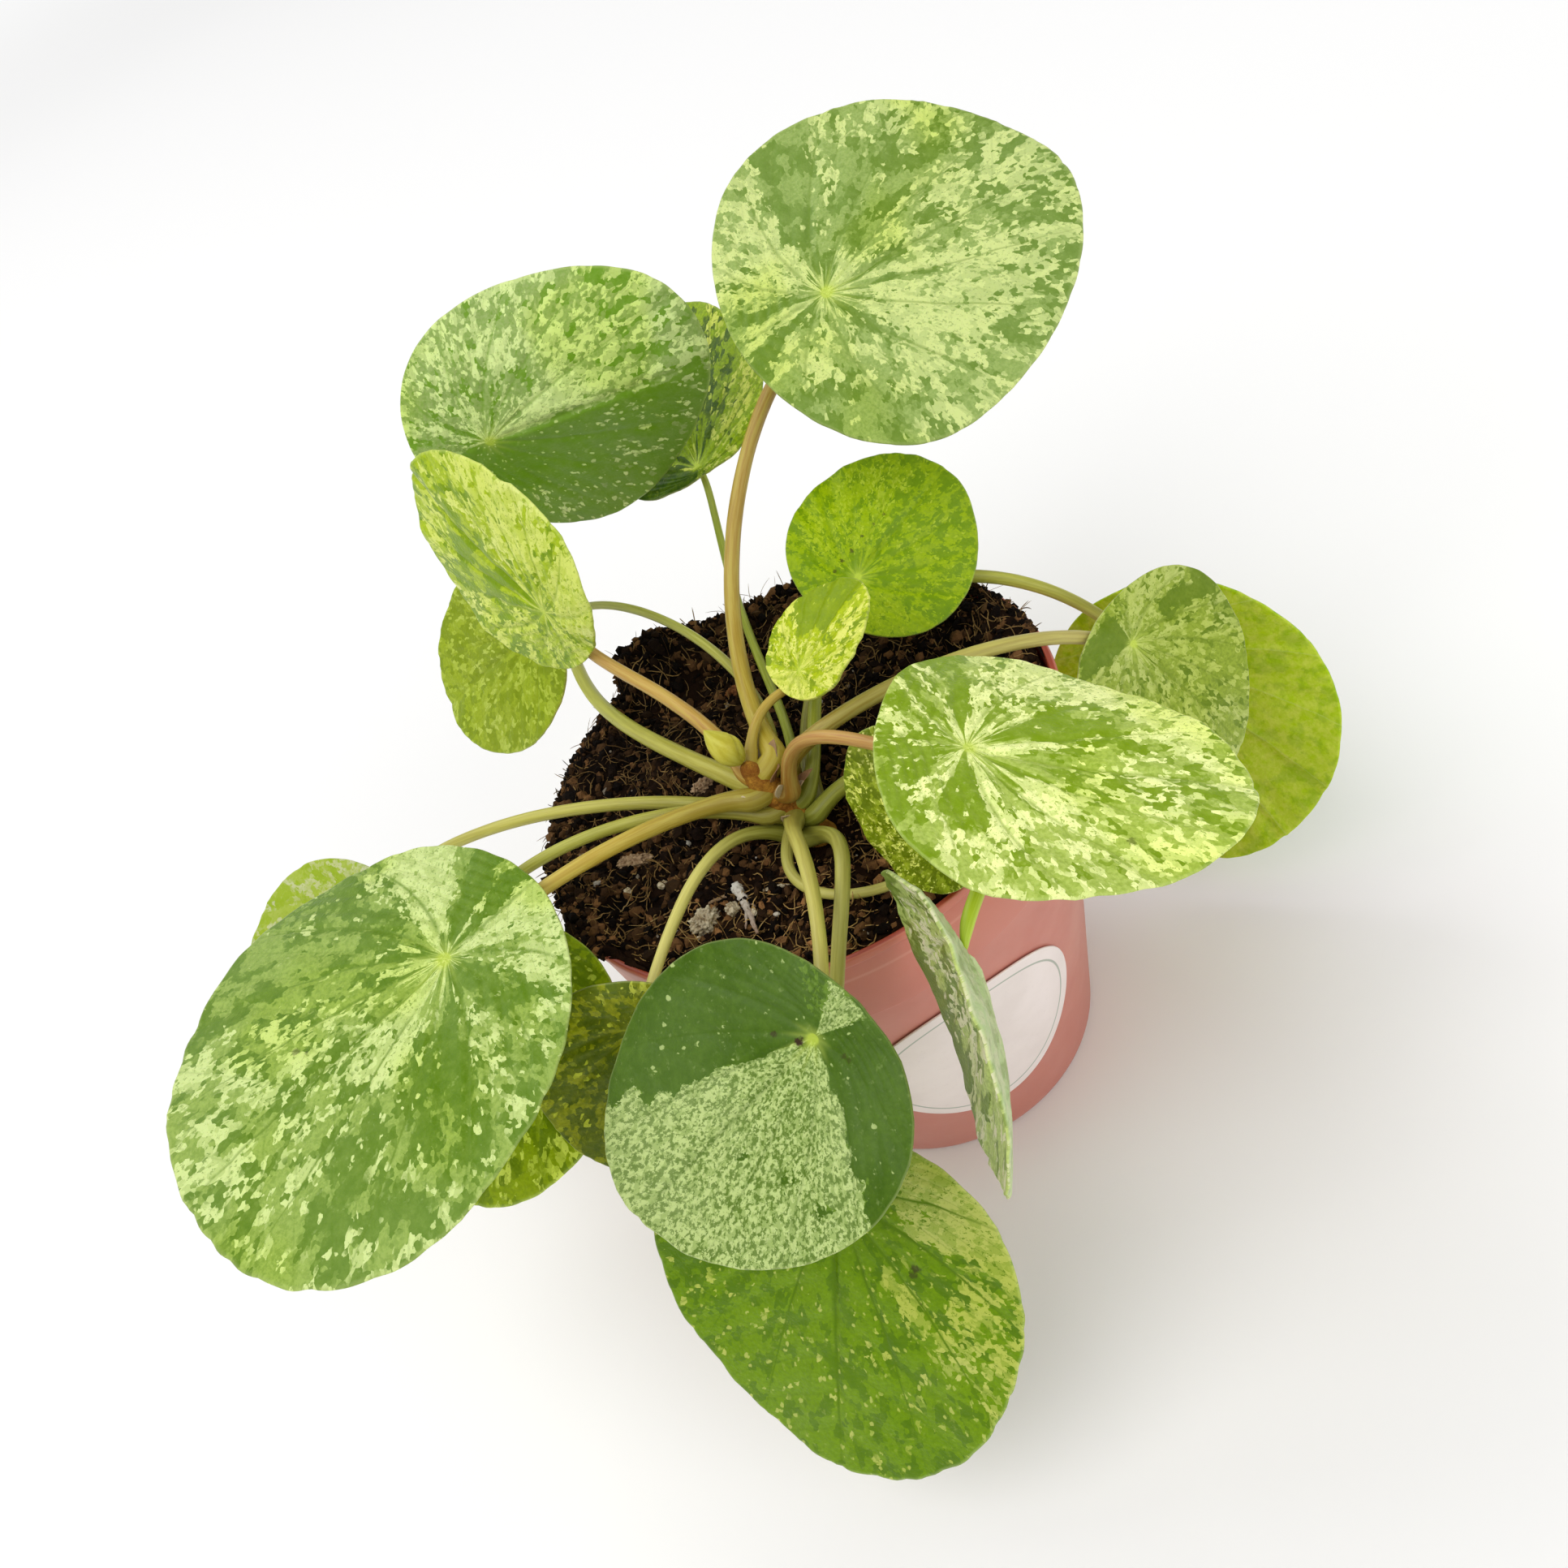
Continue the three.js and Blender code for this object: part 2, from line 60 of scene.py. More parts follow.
POT = {"height": 105.0, "base": 40.0, "body": 57.0, "collar_z": 84.0, "collar": 58.2, "rim": 60.0, "wall": 1.0,
       "floor": 1.4, "holes": 6, "hole": 3.5, "hole_circle": 29.0, "first_hole": 15}
WALL_SLOPE = (POT["body"] - POT["base"]) / POT["collar_z"]
LABEL = {"radius": 27, "z": 46, "azimuth": -85, "off_wall": 0.6, "half_thick": 0.3}
MIX = {"top": 101.2, "reach": 57.4, "ridge": 58.2, "ridge_z": 104.7}
STEM_FOOT = np.array([-3.0, -22.0, 101.5])
STEM_HEAD = np.array([-9.0, -18.0, 125.0])
STEM_RADIUS = 3.6
BUD_BASE, BUD_TIP, BUD_RADIUS = np.array([-9.0, -17.2, 125.3]), np.array([-12.6, -13.4, 134.2]), 3.1

# Each blade: where its stalk meets it; azimuth and elevation of the way its upper face looks; turn of its midrib in
# its own plane; length over its outline, and width as a share of it; the seat's share of the length; how much wider
# the base half is; arch, cup, cup2, twist and fold, which bend the sheet; skew, which shears the outline; lobes, its
# third harmonic; and ripple, the number and phase of the rim's waves.
BLADE_KEYS = "seat faces tip length width seat_at egg arch cup cup2 twist fold skew lobes ripple".split()
BLADES = {name: dict(zip(BLADE_KEYS, row)) for name, row in {
    "top": ((55, 44, 173.5), (-86, 64), -1, 81, 0.986, 0.27, 0.127, -0.107, -0.086, 0.3, -0.033, 0.014, 0.068,
        (0.008, -0.002), (5, 0.4)),
    "back_left": ((-24.5, 80.5, 166.5), (-100, 11), -6, 72.4, 0.895, 0.24, 0.041, -0.065, -0.181, -0.3, -0.015, 0.76,
        0.043, (0.008, 0.057), (5, 1.1)),
    "left_upright": ((-31, 36, 146.5), (-150, 6), 139, 58, 0.944, 0.235, 0.069, -0.129, -0.103, 0.167, -0.003, 0.006,
        0.055, (-0.002, -0.002), (6, 2)),
    "left_low": ((-42, 83, 115), (-138, 43), -150, 51, 0.964, 0.184, 0.076, -0.107, 0.009, -0.038, 0.012, -0.006,
        0.047, (0, 0.004), (5, 3.1)),
    "back_middle": ((16, 86.5, 130), (-146, 60), 123, 53.8, 0.939, 0.1, 0.061, -0.048, 0.068, -0.035, -0.024, -0.014,
        -0.019, (0.08, -0.012), (6, 0)),
    "round_back": ((32, 17, 125.5), (-85, 51), 18, 43.2, 0.962, 0.26, 0.088, -0.06, -0.096, 0, 0.011, 0.005, 0,
        (0.006, 0.017), (5, 1.7)),
    "young": ((10, -7.5, 130.5), (-163, 64), 90, 27.4, 0.941, 0.212, 0.106, -0.111, 0.09, -0.036, -0.037, -0.01, 0,
        (0.021, -0.008), (4, 0.8)),
    "right_front": ((27, -57.5, 136), (-26, 59), -92, 66.4, 0.968, 0.259, 0.087, 0.115, -0.203, -0.224, -0.13, 0,
        -0.003, (0.028, -0.014), (6, 2.4)),
    "right_back": ((73.5, -20, 102), (-74, 37), -76, 44.4, 0.97, 0.213, 0.133, -0.291, -0.041, 0.008, -0.036, -0.001,
        -0.074, (0.035, -0.026), (5, 0.2)),
    "right_hanging": ((83, 9.5, 68), (52, -11), -119, 76.8, 0.933, 0.23, 0.031, -0.115, -0.066, -0.011, -0.041, 0.002,
        0.138, (-0.015, 0.003), (6, 1.3)),
    "right_under": ((16.5, -57, 118), (-140, 39), 149, 35, 0.8, 0.234, 0.07, -0.097, -0.35, -0.13, -0.094, 0, -0.089,
        (0, 0), (5, 2.9)),
    "front_hanging": ((7.5, -86, 124), (180, 1), -71, 53.6, 1.037, 0.254, 0.084, 0.42, 0.3, 0.092, 0.13, -0.075, 0.11,
        (0, -0.016), (5, 0.9)),
    "front": ((-20.5, -84, 121), (-125, 48), -140, 60.8, 0.95, 0.174, 0.078, -0.014, -0.097, 0.3, 0.023, 0.006,
        -0.096, (0.017, 0), (5, 2.2)),
    "bottom": ((-35.5, -84.5, 78.5), (-121, 34), -102, 77.2, 0.959, 0.206, 0.109, -0.038, -0.021, -0.017, 0.07, 0.005,
        0.108, (0.012, 0.026), (6, 0.5)),
    "left_large": ((-78, -27, 128.5), (-74, 79), -178, 87.4, 1.027, 0.245, 0.058, -0.068, -0.207, 0.194, -0.13,
        -0.004, 0.052, (-0.024, 0.015), (6, 1.9)),
    "left_behind": ((-104.5, 25, 110.5), (-124, 55), -124, 54, 0.939, 0.186, 0.074, -0.102, -0.043, -0.011, 0, -0.003,
        -0.039, (0, 0.007), (5, 0.1)),
    "front_left": ((-52, -51, 109), (-106, 29), -115, 43.5, 0.976, 0.235, 0.082, -0.123, -0.045, -0.011, -0.017,
        -0.005, -0.024, (0.003, 0), (5, 2.6)),
    "left_under": ((-70, -18.5, 111), (-114, 57), -111, 59.8, 0.893, 0.143, 0.086, -0.054, -0.077, -0.011, -0.015, 0,
        -0.041, (0.005, 0), (6, 1.5)),
}.items()}

# Each stalk: where it leaves the stem (azimuth, height, extra distance from the stem), its radius near the stem, the
# three points that draw its curve on the way to its blade's seat, and its colours near the stem, half-way and near
# its blade.
STALK_KEYS = "leaves radius via colours".split()
STALKS = {name: dict(zip(STALK_KEYS, row)) for name, row in {
    "top": ((27, 121.9, -0.25), 1.9, ((-4, 37, 126), (38, 59, 172), (54, 51, 159)), "#ab9422 #ad8a3a #aa7c38"),
    "back_left": ((124, 115, 0.4), 1.9, ((-53, 65, 120), (-37, 100, 65), (-19, 124, 156)), "#b0a840 #b2b44a #adb856"),
    "left_upright": ((113, 121, -0.25), 1.7, ((-14, 25, 131), (-42, 40, 129), (-22, 41, 145)),
        "#b08030 #c5984a #be9460"),
    "left_low": ((70, 117, -0.3), 1.2, ((14, 12, 123), (-24, 66, 144), (-33, 92, 104)), "#8f8a2c #abae4e #a8aa4e"),
    "back_middle": ((82, 109.5, -0.35), 1.2, ((10, 14, 104), (-3, 50, 102), (18, 92, 114)),
        "#8e9a2c #9aa838 #a0b040"),
    "round_back": ((-8, 112.5, -0.6), 1.5, ((8, -19, 120), (12, 14, 123), (31, 23, 118)), "#7e8422 #9aa62e #a8ba34"),
    "young": ((64, 124, 0), 1.1, ((-1, -7, 130), (7, -3, 127), (14, -6, 122)), "#a88c26 #b8963c #c49c54"),
    "right_front": ((-49, 118, -0.25), 1.5, ((1, -23, 135), (9, -33, 139), (23, -56, 128)),
        "#93601e #c28a50 #cc9862"),
    "right_back": ((40, 115.4, -0.35), 1.8, ((-3, -21, 131), (61, -19, 129), (70, -10, 95)),
        "#8f701e #b0a452 #b8aa68"),
    "right_hanging": ((32, 107.8, -0.5), 1.7, ((14, 44, 114), (68, 20, 138), (86, -10, 78)),
        "#6a6616 #aeb040 #b0ac56"),
    "right_under": ((-145, 107.6, -0.3), 1.2, ((-23, -43, 109), (4, -52, 99), (22, -52, 111)),
        "#a8a24c #cac268 #b4aa58"),
    "front_hanging": ((-38, 109, -0.7), 1.6, ((25, -22, 123), (45, -64, 116), (19, -73, 132)),
        "#8e9430 #bcc43a #b2d028"),
    "front": ((-102, 111.2, -0.3), 1.6, ((-9, -42, 123), (-3, -53, 129), (-18, -77, 114)), "#a39a40 #c0b65a #cfc46e"),
    "bottom": ((-101, 106.4, -0.45), 1.6, ((10, -53, 127), (-13, -63, 126), (-31, -76, 72)),
        "#84862c #bab460 #c6be6a"),
    "left_large": ((-170, 118.4, -0.2), 1.8, ((-23, -14, 122), (-73, -16, 129), (-79, -24, 118)),
        "#968224 #c2a43c #d0ae58"),
    "left_behind": ((150, 109.9, 0.45), 1.5, ((-45, 10, 127), (-98, 23, 126), (-99, 33, 96)),
        "#86822a #bdb656 #c6c070"),
    "front_left": ((175, 105.8, 0.25), 1.4, ((-21, -19, 118), (-32, -29, 117), (-50, -43, 105)),
        "#7e8022 #d4cc70 #eade88"),
    "left_under": ((-174, 113, -0.2), 1.5, ((-45, 6, 127), (-108, -1, 117), (-68, -13, 103)),
        "#8a802a #a8a840 #b4a848"),
}.items()}

# ---- looks ----

# colours = cream, mid green, deep green, underside. cream and deep = how much of each there is overall, from about
# -2 (none) to 2 (all). grain = size in mm of the marbling, cell = size in mm of its smallest cells, streaky = how far
# out the streaks from the seat reach, veins = strength of the dark veins, specks = share of small pale dots, pepper =
# share of small dark dots in the cream, painted_sheen = strength of the greyish tint that paints a broad sheen in the
# colour, painted_sun = strength of the yellow tint that paints sunlit patches, scallop = depth of the rim's scallops
# as a share of the blade. sectors = (angle from the tip, half-width, from and to as shares of the way to the rim, more
# or less cream, more or less deep green). spots = (along the midrib, across it, radius in mm, darkness).
LOOK_DEFAULTS = {"grain": 3.2, "cell": 0.85, "streaky": 0.34, "veins": 0.5, "specks": 0.0, "pepper": 0.6,
                 "painted_sheen": 0.2, "painted_sun": 0.5, "scallop": 0.003, "sectors": (), "spots": ()}
LOOKS = {
    "top": dict(colours="#d2df8a #9eb462 #6a882a #a9bb6c", cream=-0.15, deep=-0.3, painted_sheen=0.35,
        sectors=((75, 9, 0.1, 1, -1.6, 0.8), (38, 16, 0.25, 0.8, -1, 0.1), (163, 4, 0.15, 1.1, -2.4, 2),
        (197, 6, 0.25, 1.1, -2, 2), (-20, 3, 0.1, 0.5, -2, 1), (-75, 5, 0.1, 0.5, -1.2, 1),
        (-45, 32, 0.2, 0.75, 0.8, 0), (-115, 30, 0.7, 1.1, -1, 0.3), (180, 9, 0.1, 0.9, 1, 0),
        (120, 25, 0.2, 1.1, 0.5, -0.3), (-10, 40, 0.65, 1.1, 0.1, 0.9))),
    # back_left's lower half is painted deep green, which also paints the shade of that half where it folds down and
    # away from the light; the cream strip just above the midrib near the seat is a painted highlight on the crease.
    "back_left": dict(colours="#d8ea99 #9bb266 #6e991e #a3b463", cream=0.1, deep=-0.7, grain=2.4, specks=0.7,
        painted_sheen=0.3, sectors=((-90, 87, 0, 1.1, -2.6, 2.8), (12, 10, 0.05, 0.4, 1, -0.6), (160, 5, 0.1, 1, -1.4, 1),
        (135, 5, 0.1, 0.9, -1.1, 1), (15, 22, 0.6, 1.1, -0.3, 0.5), (60, 30, 0.1, 0.5, -0.6, 0.3),
        (-45, 42, 0.5, 1.1, 1.5, -0.8))),
    "left_upright": dict(colours="#e0e884 #b6ca28 #7a9a00 #b4c25a", cream=-0.3, deep=-0.2, grain=2.6,
        sectors=((-55, 25, 0.4, 1.1, 1, -0.5), (-125, 35, 0.3, 1.1, 1.4, -0.8), (15, 25, 0.2, 0.7, -1.2, 1),
        (165, 12, 0.1, 1, 1, -0.2), (60, 25, 0.4, 1.1, 0.2, 0.6))),
    "left_low": dict(colours="#b4c450 #9eb02c #809413 #9eab4c", cream=-0.6, deep=0.1, grain=2.2),
    "back_middle": dict(colours="#d2da60 #96b200 #345400 #9aab3e", cream=-0.6, deep=-0.7, grain=2.4,
        sectors=((110, 55, 0.1, 1.1, -0.9, 2.4), (-25, 14, 0.1, 0.8, -0.4, 0.9), (-85, 35, 0.3, 1.1, 0.6, -0.6))),
    "round_back": dict(colours="#acc020 #9ab400 #6e9000 #a4b148", cream=-1.2, deep=0, grain=1, cell=0.35, veins=0.4,
        painted_sheen=0.15, sectors=((55, 40, 0.2, 0.9, 0.8, -0.4), (-115, 28, 0.25, 1.1, 0.5, -1),
        (-50, 8, 0.1, 0.5, -0.6, 1)), spots=((-2, 4.8, 0.5, 0.6), (1, 5, 0.5, 0.7), (4, 4.8, 0.4, 0.7),
        (8, 4.9, 0.35, 0.6), (12, 4.7, 0.35, 0.5), (15, 4.4, 0.4, 0.6))),
    "young": dict(colours="#e4e870 #b6c804 #7f9808 #b6c142", cream=-0.1, deep=-0.4, grain=2, cell=0.45, painted_sheen=0.1,
        sectors=((180, 70, 0.15, 1.1, 1.2, -0.6), (18, 26, 0.45, 1.1, -1.5, 1.5), (-60, 30, 0.5, 1.1, 0.4, 0))),
    "right_front": dict(colours="#f6ffaa #b6ca60 #7c9a0a #adbd66", cream=-0.15, deep=0, grain=3.2, streaky=0.6,
        painted_sheen=0.1, sectors=((32, 12, 0.12, 0.75, -1.2, 1.2), (98, 7, 0.2, 1.1, -1.4, 1.2),
        (128, 4, 0.2, 1.1, -1.3, 1), (152, 5, 0.2, 1.1, -1.2, 1), (-92, 16, 0.12, 0.6, -1.4, 1.2),
        (-145, 20, 0.4, 1, -1, 0.8), (45, 25, 0.62, 1.1, 0.8, -0.3), (-40, 22, 0.3, 1.1, 0.2, -0.4),
        (-115, 14, 0.75, 1.1, -0.8, 0.2)), spots=((28, -17, 0.8, 0.5),)),
    "right_back": dict(colours="#b6c26a #96a840 #627b11 #9fae58", cream=0, deep=-0.6, grain=2,
        sectors=((-152, 44, 0.1, 0.95, -2.6, 2.6), (76, 10, 0.42, 1.1, -1.5, 1.7), (115, 22, 0.15, 1.1, 0.4, 0.1),
        (30, 30, 0.5, 1.1, -0.2, 0.3), (-170, 20, 0.85, 1.1, 1.8, -1.5))),
    "right_hanging": dict(colours="#ccd658 #a0be0c #6c9a00 #a6c40c", cream=-0.2, deep=-0.1,
        sectors=((20, 60, 0.4, 1.1, 0.3, 0),)),
    "right_under": dict(colours="#eef08c #a2b230 #667800 #a3b23c", cream=-0.8, deep=0.2, grain=1.2, cell=0.35,
        sectors=((40, 30, 0.5, 1.1, 0.3, 0),)),
    "front_hanging": dict(colours="#dcd8b6 #bece76 #627a18 #b6ca8c", cream=-0.2, deep=-0.4, veins=0.3,
        sectors=((-80, 60, 0.82, 1.1, -1, 1.5),)),
    "front": dict(colours="#b7c97e #648420 #3b5a00 #9aab5c", cream=-2.6, deep=2.3, grain=1.3, cell=0.4, veins=0.35,
        specks=0.25, pepper=1.2, painted_sheen=0.25, painted_sun=0, sectors=((21, 45, 0.05, 1.2, 5, -3.2),
        (182, 24, 0.08, 0.95, 4.4, -3), (-150, 35, 0.3, 1.1, 0.2, -1.9), (34, 4, 0.55, 0.68, -3, 2.5),
        (12, 3, 0.5, 0.6, -3, 2.5), (50, 3, 0.75, 0.85, -3, 2)), spots=((2.9, -1.3, 0.9, 1), (5.6, -5.3, 0.5, 0.7),
        (-1.9, 5.7, 0.6, 0.5), (-2.1, 6.9, 0.5, 0.4))),
    "bottom": dict(colours="#b6be5e #709200 #547600 #94a64a", cream=-1.3, deep=-0.3, grain=2.3, veins=1, specks=0.6,
        painted_sheen=0.12, scallop=0.009, sectors=((112, 38, 0.4, 1.1, 2.4, 0.1), (60, 26, 0.65, 1.1, 1.6, 0),
        (38, 9, 0.3, 0.6, 2, 0), (-70, 30, 0.7, 1.1, 0.3, 0.5)), spots=((11.5, 16.5, 0.9, 0.7), (13, 15.8, 0.7, 0.6),
        (19, 17.3, 0.35, 0.4))),
    "left_large": dict(colours="#d1e290 #9bb452 #5c7f08 #a7b967", cream=-0.45, deep=0, grain=3.4, painted_sheen=0.3,
        scallop=0.009, veins=0.7, sectors=((165, 16, 0.15, 1.1, 1.6, -0.5), (190, 5, 0.15, 1.1, -1.8, 1.6),
        (217, 11, 0.15, 1.1, -2, 1.6), (203, 3, 0.15, 1, 1.2, -1), (250, 15, 0.2, 1.1, 1.5, -0.4),
        (102, 15, 0.15, 0.7, -0.9, 0.6), (60, 7, 0.1, 0.6, -1.2, 0.6), (128, 10, 0.5, 1.1, 0.8, 0),
        (-18, 15, 0.35, 1.1, 0.3, 0), (18, 14, 0.05, 0.45, 1, 0), (-60, 26, 0.3, 1.1, -0.9, 0.3),
        (45, 20, 0.4, 0.9, -0.5, 0.4)), spots=((33, -8, 0.9, 0.5), (31.5, -6, 0.5, 0.4))),
    "left_behind": dict(colours="#c2c69a #aaba4e #98b024 #b0be5c", cream=-0.4, deep=0),
    "front_left": dict(colours="#bcc23c #94980c #506000 #8a9648", cream=-1.2, deep=0.2, grain=2.2,
        sectors=((150, 40, 0.3, 1.1, 0.7, -0.5),)),
    "left_under": dict(colours="#e2f060 #a2b804 #748e00 #93a24a", cream=-0.9, deep=0.1, grain=2,
        sectors=((40, 40, 0.4, 1.1, 0.5, -0.3),)),
}

TAN, BEIGE, RUST = "#7d5f42 #c4a684 #3a2617", "#a38c68 #e2d6b8 #5a442e", "#4a2c18 #8a5a34 #22120a"
PALE_WOOD, PAPERY, BUD_GREENS = "#8a6850 #f0ece0 #7a5f48", "#7a5230 #d8c8a4 #a8844e", "#a09a26 #c6bb34 #c2bd3a"
BROWNS, BARK, GRIT = "#0a0503 #a8784a #25140b", "#1c0f08 #9a7448 #3a2414", "#a89a86 #e9e2d6 #b9ab98"
COIR, ROOT = "#44290f #cfa868 #6a4824", "#8a6a3c #c9a970 #7f5f36"
# Larger chips in the mix: x, y, length, width, height, heading, colours.
CHIPS = (
    (-32.7, -28.6, 6.6, 5.2, 4, 20, BEIGE), (-26.3, -30, 3.2, 2.6, 2.6, 70, BEIGE),
    (-41.4, -2.1, 7.5, 3.6, 2.4, -30, TAN), (-20.5, 9.9, 5.6, 3.6, 3, 10, TAN),
    (-37.8, -12.1, 2.4, 1.7, 1.6, 0, BEIGE), (-45.4, -8.8, 2.2, 1.6, 1.4, 40, BEIGE),
    (-35.4, -31.6, 1.3, 1.2, 1.2, 0, BEIGE), (-22.5, -33.6, 1.6, 1.3, 1.3, 90, BEIGE),
    (22, 30, 4.6, 2.6, 2, 60, RUST), (-4, 34, 4, 2.6, 2, 15, RUST), (30, -30, 5, 3, 2.2, -50, TAN),
    (-16.8, -30.2, 6, 0.9, 0.9, -22, BEIGE), (-27.7, -25.2, 5.6, 0.8, 0.8, -12, TAN),
)
# The forked splinter's branches: radius at the knot, and four points of the path seen from above.
TWIGS = (
    (1.25, ((-23.8, -24.6), (-23.2, -28.0), (-23.6, -32.6), (-23.8, -39.3))),
    (0.6, ((-23.6, -29.2), (-23.4, -31.6), (-24.6, -33.4), (-25.6, -36.2))),
    (0.5, ((-23.6, -28.4), (-22.6, -30.0), (-22.2, -31.0), (-21.8, -32.6))),
)
SLOTS = {
    "leaf_cream": ("top", "right_front"),
    "leaf_lime": ("left_upright", "back_middle", "round_back", "young", "right_hanging", "left_behind"),
    "stalk_bronze": ("top", "left_upright", "young", "right_front", "left_large"),
}


# ---- numbers and meshes ----


def unit(v):
    """Vectors along the last axis, scaled to length one."""
    return v / np.maximum(np.linalg.norm(v, axis=-1, keepdims=True), 1e-12)


def turns(count):
    """Even angles round a full turn."""
    return np.arange(count) * TURN / count


def polar(radius, angle, z=0.0):
    """Points at this radius and angle round the z axis, and at this height."""
    return np.stack(np.broadcast_arrays(radius * np.cos(angle), radius * np.sin(angle), z), -1)


def smooth(low, high, x):
    """0 below low, 1 above high, and 3t² - 2t³ between them."""
    t = np.clip((x - low) / (high - low), 0, 1)
    return t * t * (3 - 2 * t)


def hill(x, width):
    """The bell curve exp(-(x / width)²)."""
    return np.exp(-((x / width) ** 2))


def value_noise(points, seed):
    """Random values from -1 to 1 on whole-number lattice points, blended across each cell by 3t² - 2t³."""
    table = np.random.default_rng(seed).random((32, 32, 32)) * 2 - 1
    cell = np.floor(points).astype(int)
    t = smooth(0, 1, points - cell)
    total = np.zeros(points.shape[:-1])
    for corner in np.ndindex(2, 2, 2):
        at = (cell + corner) % 32
        total += table[at[..., 0], at[..., 1], at[..., 2]] * np.prod(np.where(corner, t, 1 - t), axis=-1)
    return total


def fractal(points, seed, octaves=4, roughness=0.5):
    """Sum of value noise at doubling frequencies, each octave roughness times as strong as the one before."""
    strengths = roughness ** np.arange(octaves)
    layers = (value_noise(points * 2.0**k + 7.3 * k, seed + k) * strengths[k] for k in range(octaves))
    return sum(layers) / strengths.sum()


def new_mesh(name, points, faces_by_size, values=None, material=None, flat=False):
    """An object at the origin whose mesh has these points (in mm) and faces, given as arrays by corner count, and
    these values as attributes of its points."""
    corners = np.concatenate([f.ravel() for f in faces_by_size])
    sizes = np.concatenate([np.full(len(f), f.shape[1]) for f in faces_by_size])
    mesh = bpy.data.meshes.new(name)
    mesh.vertices.add(len(points))
    mesh.vertices.foreach_set("co", (points * MM).astype(np.float32).ravel())
    mesh.loops.add(len(corners))
    mesh.loops.foreach_set("vertex_index", corners.astype(np.int32))
    mesh.polygons.add(len(sizes))
    mesh.polygons.foreach_set("loop_start", np.concatenate([[0], np.cumsum(sizes)[:-1]]).astype(np.int32))
    mesh.polygons.foreach_set("use_smooth", np.full(len(sizes), not flat))
    for key, value in (values or {}).items():
        kind, field = ("FLOAT", "value") if value.ndim == 1 else ("FLOAT_VECTOR", "vector")
        mesh.attributes.new(key, kind, "POINT").data.foreach_set(field, value.astype(np.float32).ravel())
    mesh.update()
    if mesh.validate():
        raise RuntimeError(f"{name} has broken faces")
    piece = bpy.data.objects.new(name, mesh)
    bpy.context.scene.collection.objects.link(piece)
    if material is not None:
        mesh.materials.append(material)
    return piece


def grid_quads(rows, columns, around=True):
    """The quads of a grid of points, as point numbers. Where it goes around, the last column joins the first."""
    row, column = np.meshgrid(np.arange(rows - 1), np.arange(columns - (not around)), indexing="ij")
    here, after = row * columns, (column + 1) % columns
    return np.stack([here + column, here + after, here + columns + after, here + columns + column],
                    -1).reshape(-1, 4)


def for_each(faces, count, points):
    """The faces of one small piece, for count of them with this many points each."""
    return (faces[None] + (np.arange(count) * points)[:, None, None]).reshape(-1, faces.shape[1])


def closed_skin(name, rings, values=None, material=None):
    """A closed surface: rings of equal point counts joined by quads, with a fan to the middle of the first and the
    last ring. Its faces are turned outwards by the sign of its volume. values are arrays over the same grid."""
    rows, count = rings.shape[:2]
    points = np.vstack([rings.reshape(-1, 3), rings[0].mean(0), rings[-1].mean(0)])
    quads = grid_quads(rows, count)
    around = np.arange(count)
    follow, pole, last = (around + 1) % count, np.full(count, rows * count), (rows - 1) * count
    fans = np.vstack([np.stack([pole, follow, around], -1), np.stack([pole + 1, last + around, last + follow], -1)])
    triangles = np.vstack([quads[:, [0, 1, 2]], quads[:, [0, 2, 3]], fans])
    a, b, c = (points[triangles[:, k]] - points.mean(0) for k in range(3))
    if np.einsum("ij,ij->i", a, np.cross(b, c)).sum() < 0:
        quads, fans = quads[:, ::-1], fans[:, ::-1]
    spread = {key: np.concatenate([v.reshape(rows * count, *v.shape[2:]), v[:1].mean(1), v[-1:].mean(1)])
              for key, v in (values or {}).items()}
    return new_mesh(name, points, [quads, fans], spread, material)


def bezier(points, share):
    """Points at the given shares of a Bezier curve, by repeated blending of its control points."""
    level = [np.asarray(p, float) for p in points]
    while len(level) > 1:
        level = [a + (b - a) * share[:, None] for a, b in zip(level, level[1:])]
    return level[0]


def way_along(points):
    """The distance run along a line of points, at each of them."""
    return np.concatenate([[0], np.cumsum(np.linalg.norm(np.diff(points, axis=0), axis=1))])


def evenly(points, count):
    """count points at even distances along a curve given by many points, and its length."""
    run = way_along(points)
    at = np.linspace(0, run[-1], count)
    return np.stack([np.interp(at, run, points[:, k]) for k in range(3)], -1), run[-1]


def tube_rings(path, radius, sides, end_normal=None):
    """Rings of a tube: at each point of the path a circle of the given radius, square to the path. The circles start
    from the direction that is most nearly square to the whole path. The last circle may lie square to end_normal."""
    tangent = unit(np.gradient(path, axis=0))
    if end_normal is not None:
        lay = smooth(0.93, 1.0, np.linspace(0, 1, len(path)))[:, None]
        tangent = unit(tangent * (1 - lay) + end_normal * lay)
    across = np.linalg.svd(tangent, full_matrices=False)[2][-1]
    side = unit(across - (tangent @ across)[:, None] * tangent)
    other = np.cross(tangent, side)
    turn = turns(sides)[None, :, None]
    return path[:, None] + radius[..., None] * (side[:, None] * np.cos(turn) + other[:, None] * np.sin(turn))


def sheet_run(out_rows, back_rows, edge, edge_turn):
    """Shares and lifts of a run that goes out over a sheet's upper face, round its edge, and back below it."""
    share = np.concatenate([out_rows, edge + (1 - edge) * np.sin(edge_turn), back_rows])
    return share, np.concatenate([np.ones(len(out_rows)), np.cos(edge_turn), -np.ones(len(back_rows))])


def dress(piece, slot, *nodes):
    """The piece rides with the plant and stands for these nodes, whose solids are hidden. The slot is not used."""
    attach(piece, "root")
    if nodes:
        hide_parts(*nodes)


# ---- materials ----


def colour(code):
    """A linear RGBA colour from a hex code."""
    value = np.array([int(code[i:i + 2], 16) for i in (1, 3, 5)]) / 255
    linear = np.where(value <= 0.04045, value / 12.92, ((value + 0.055) / 1.055) ** 2.4)
    return (*linear.tolist(), 1.0)


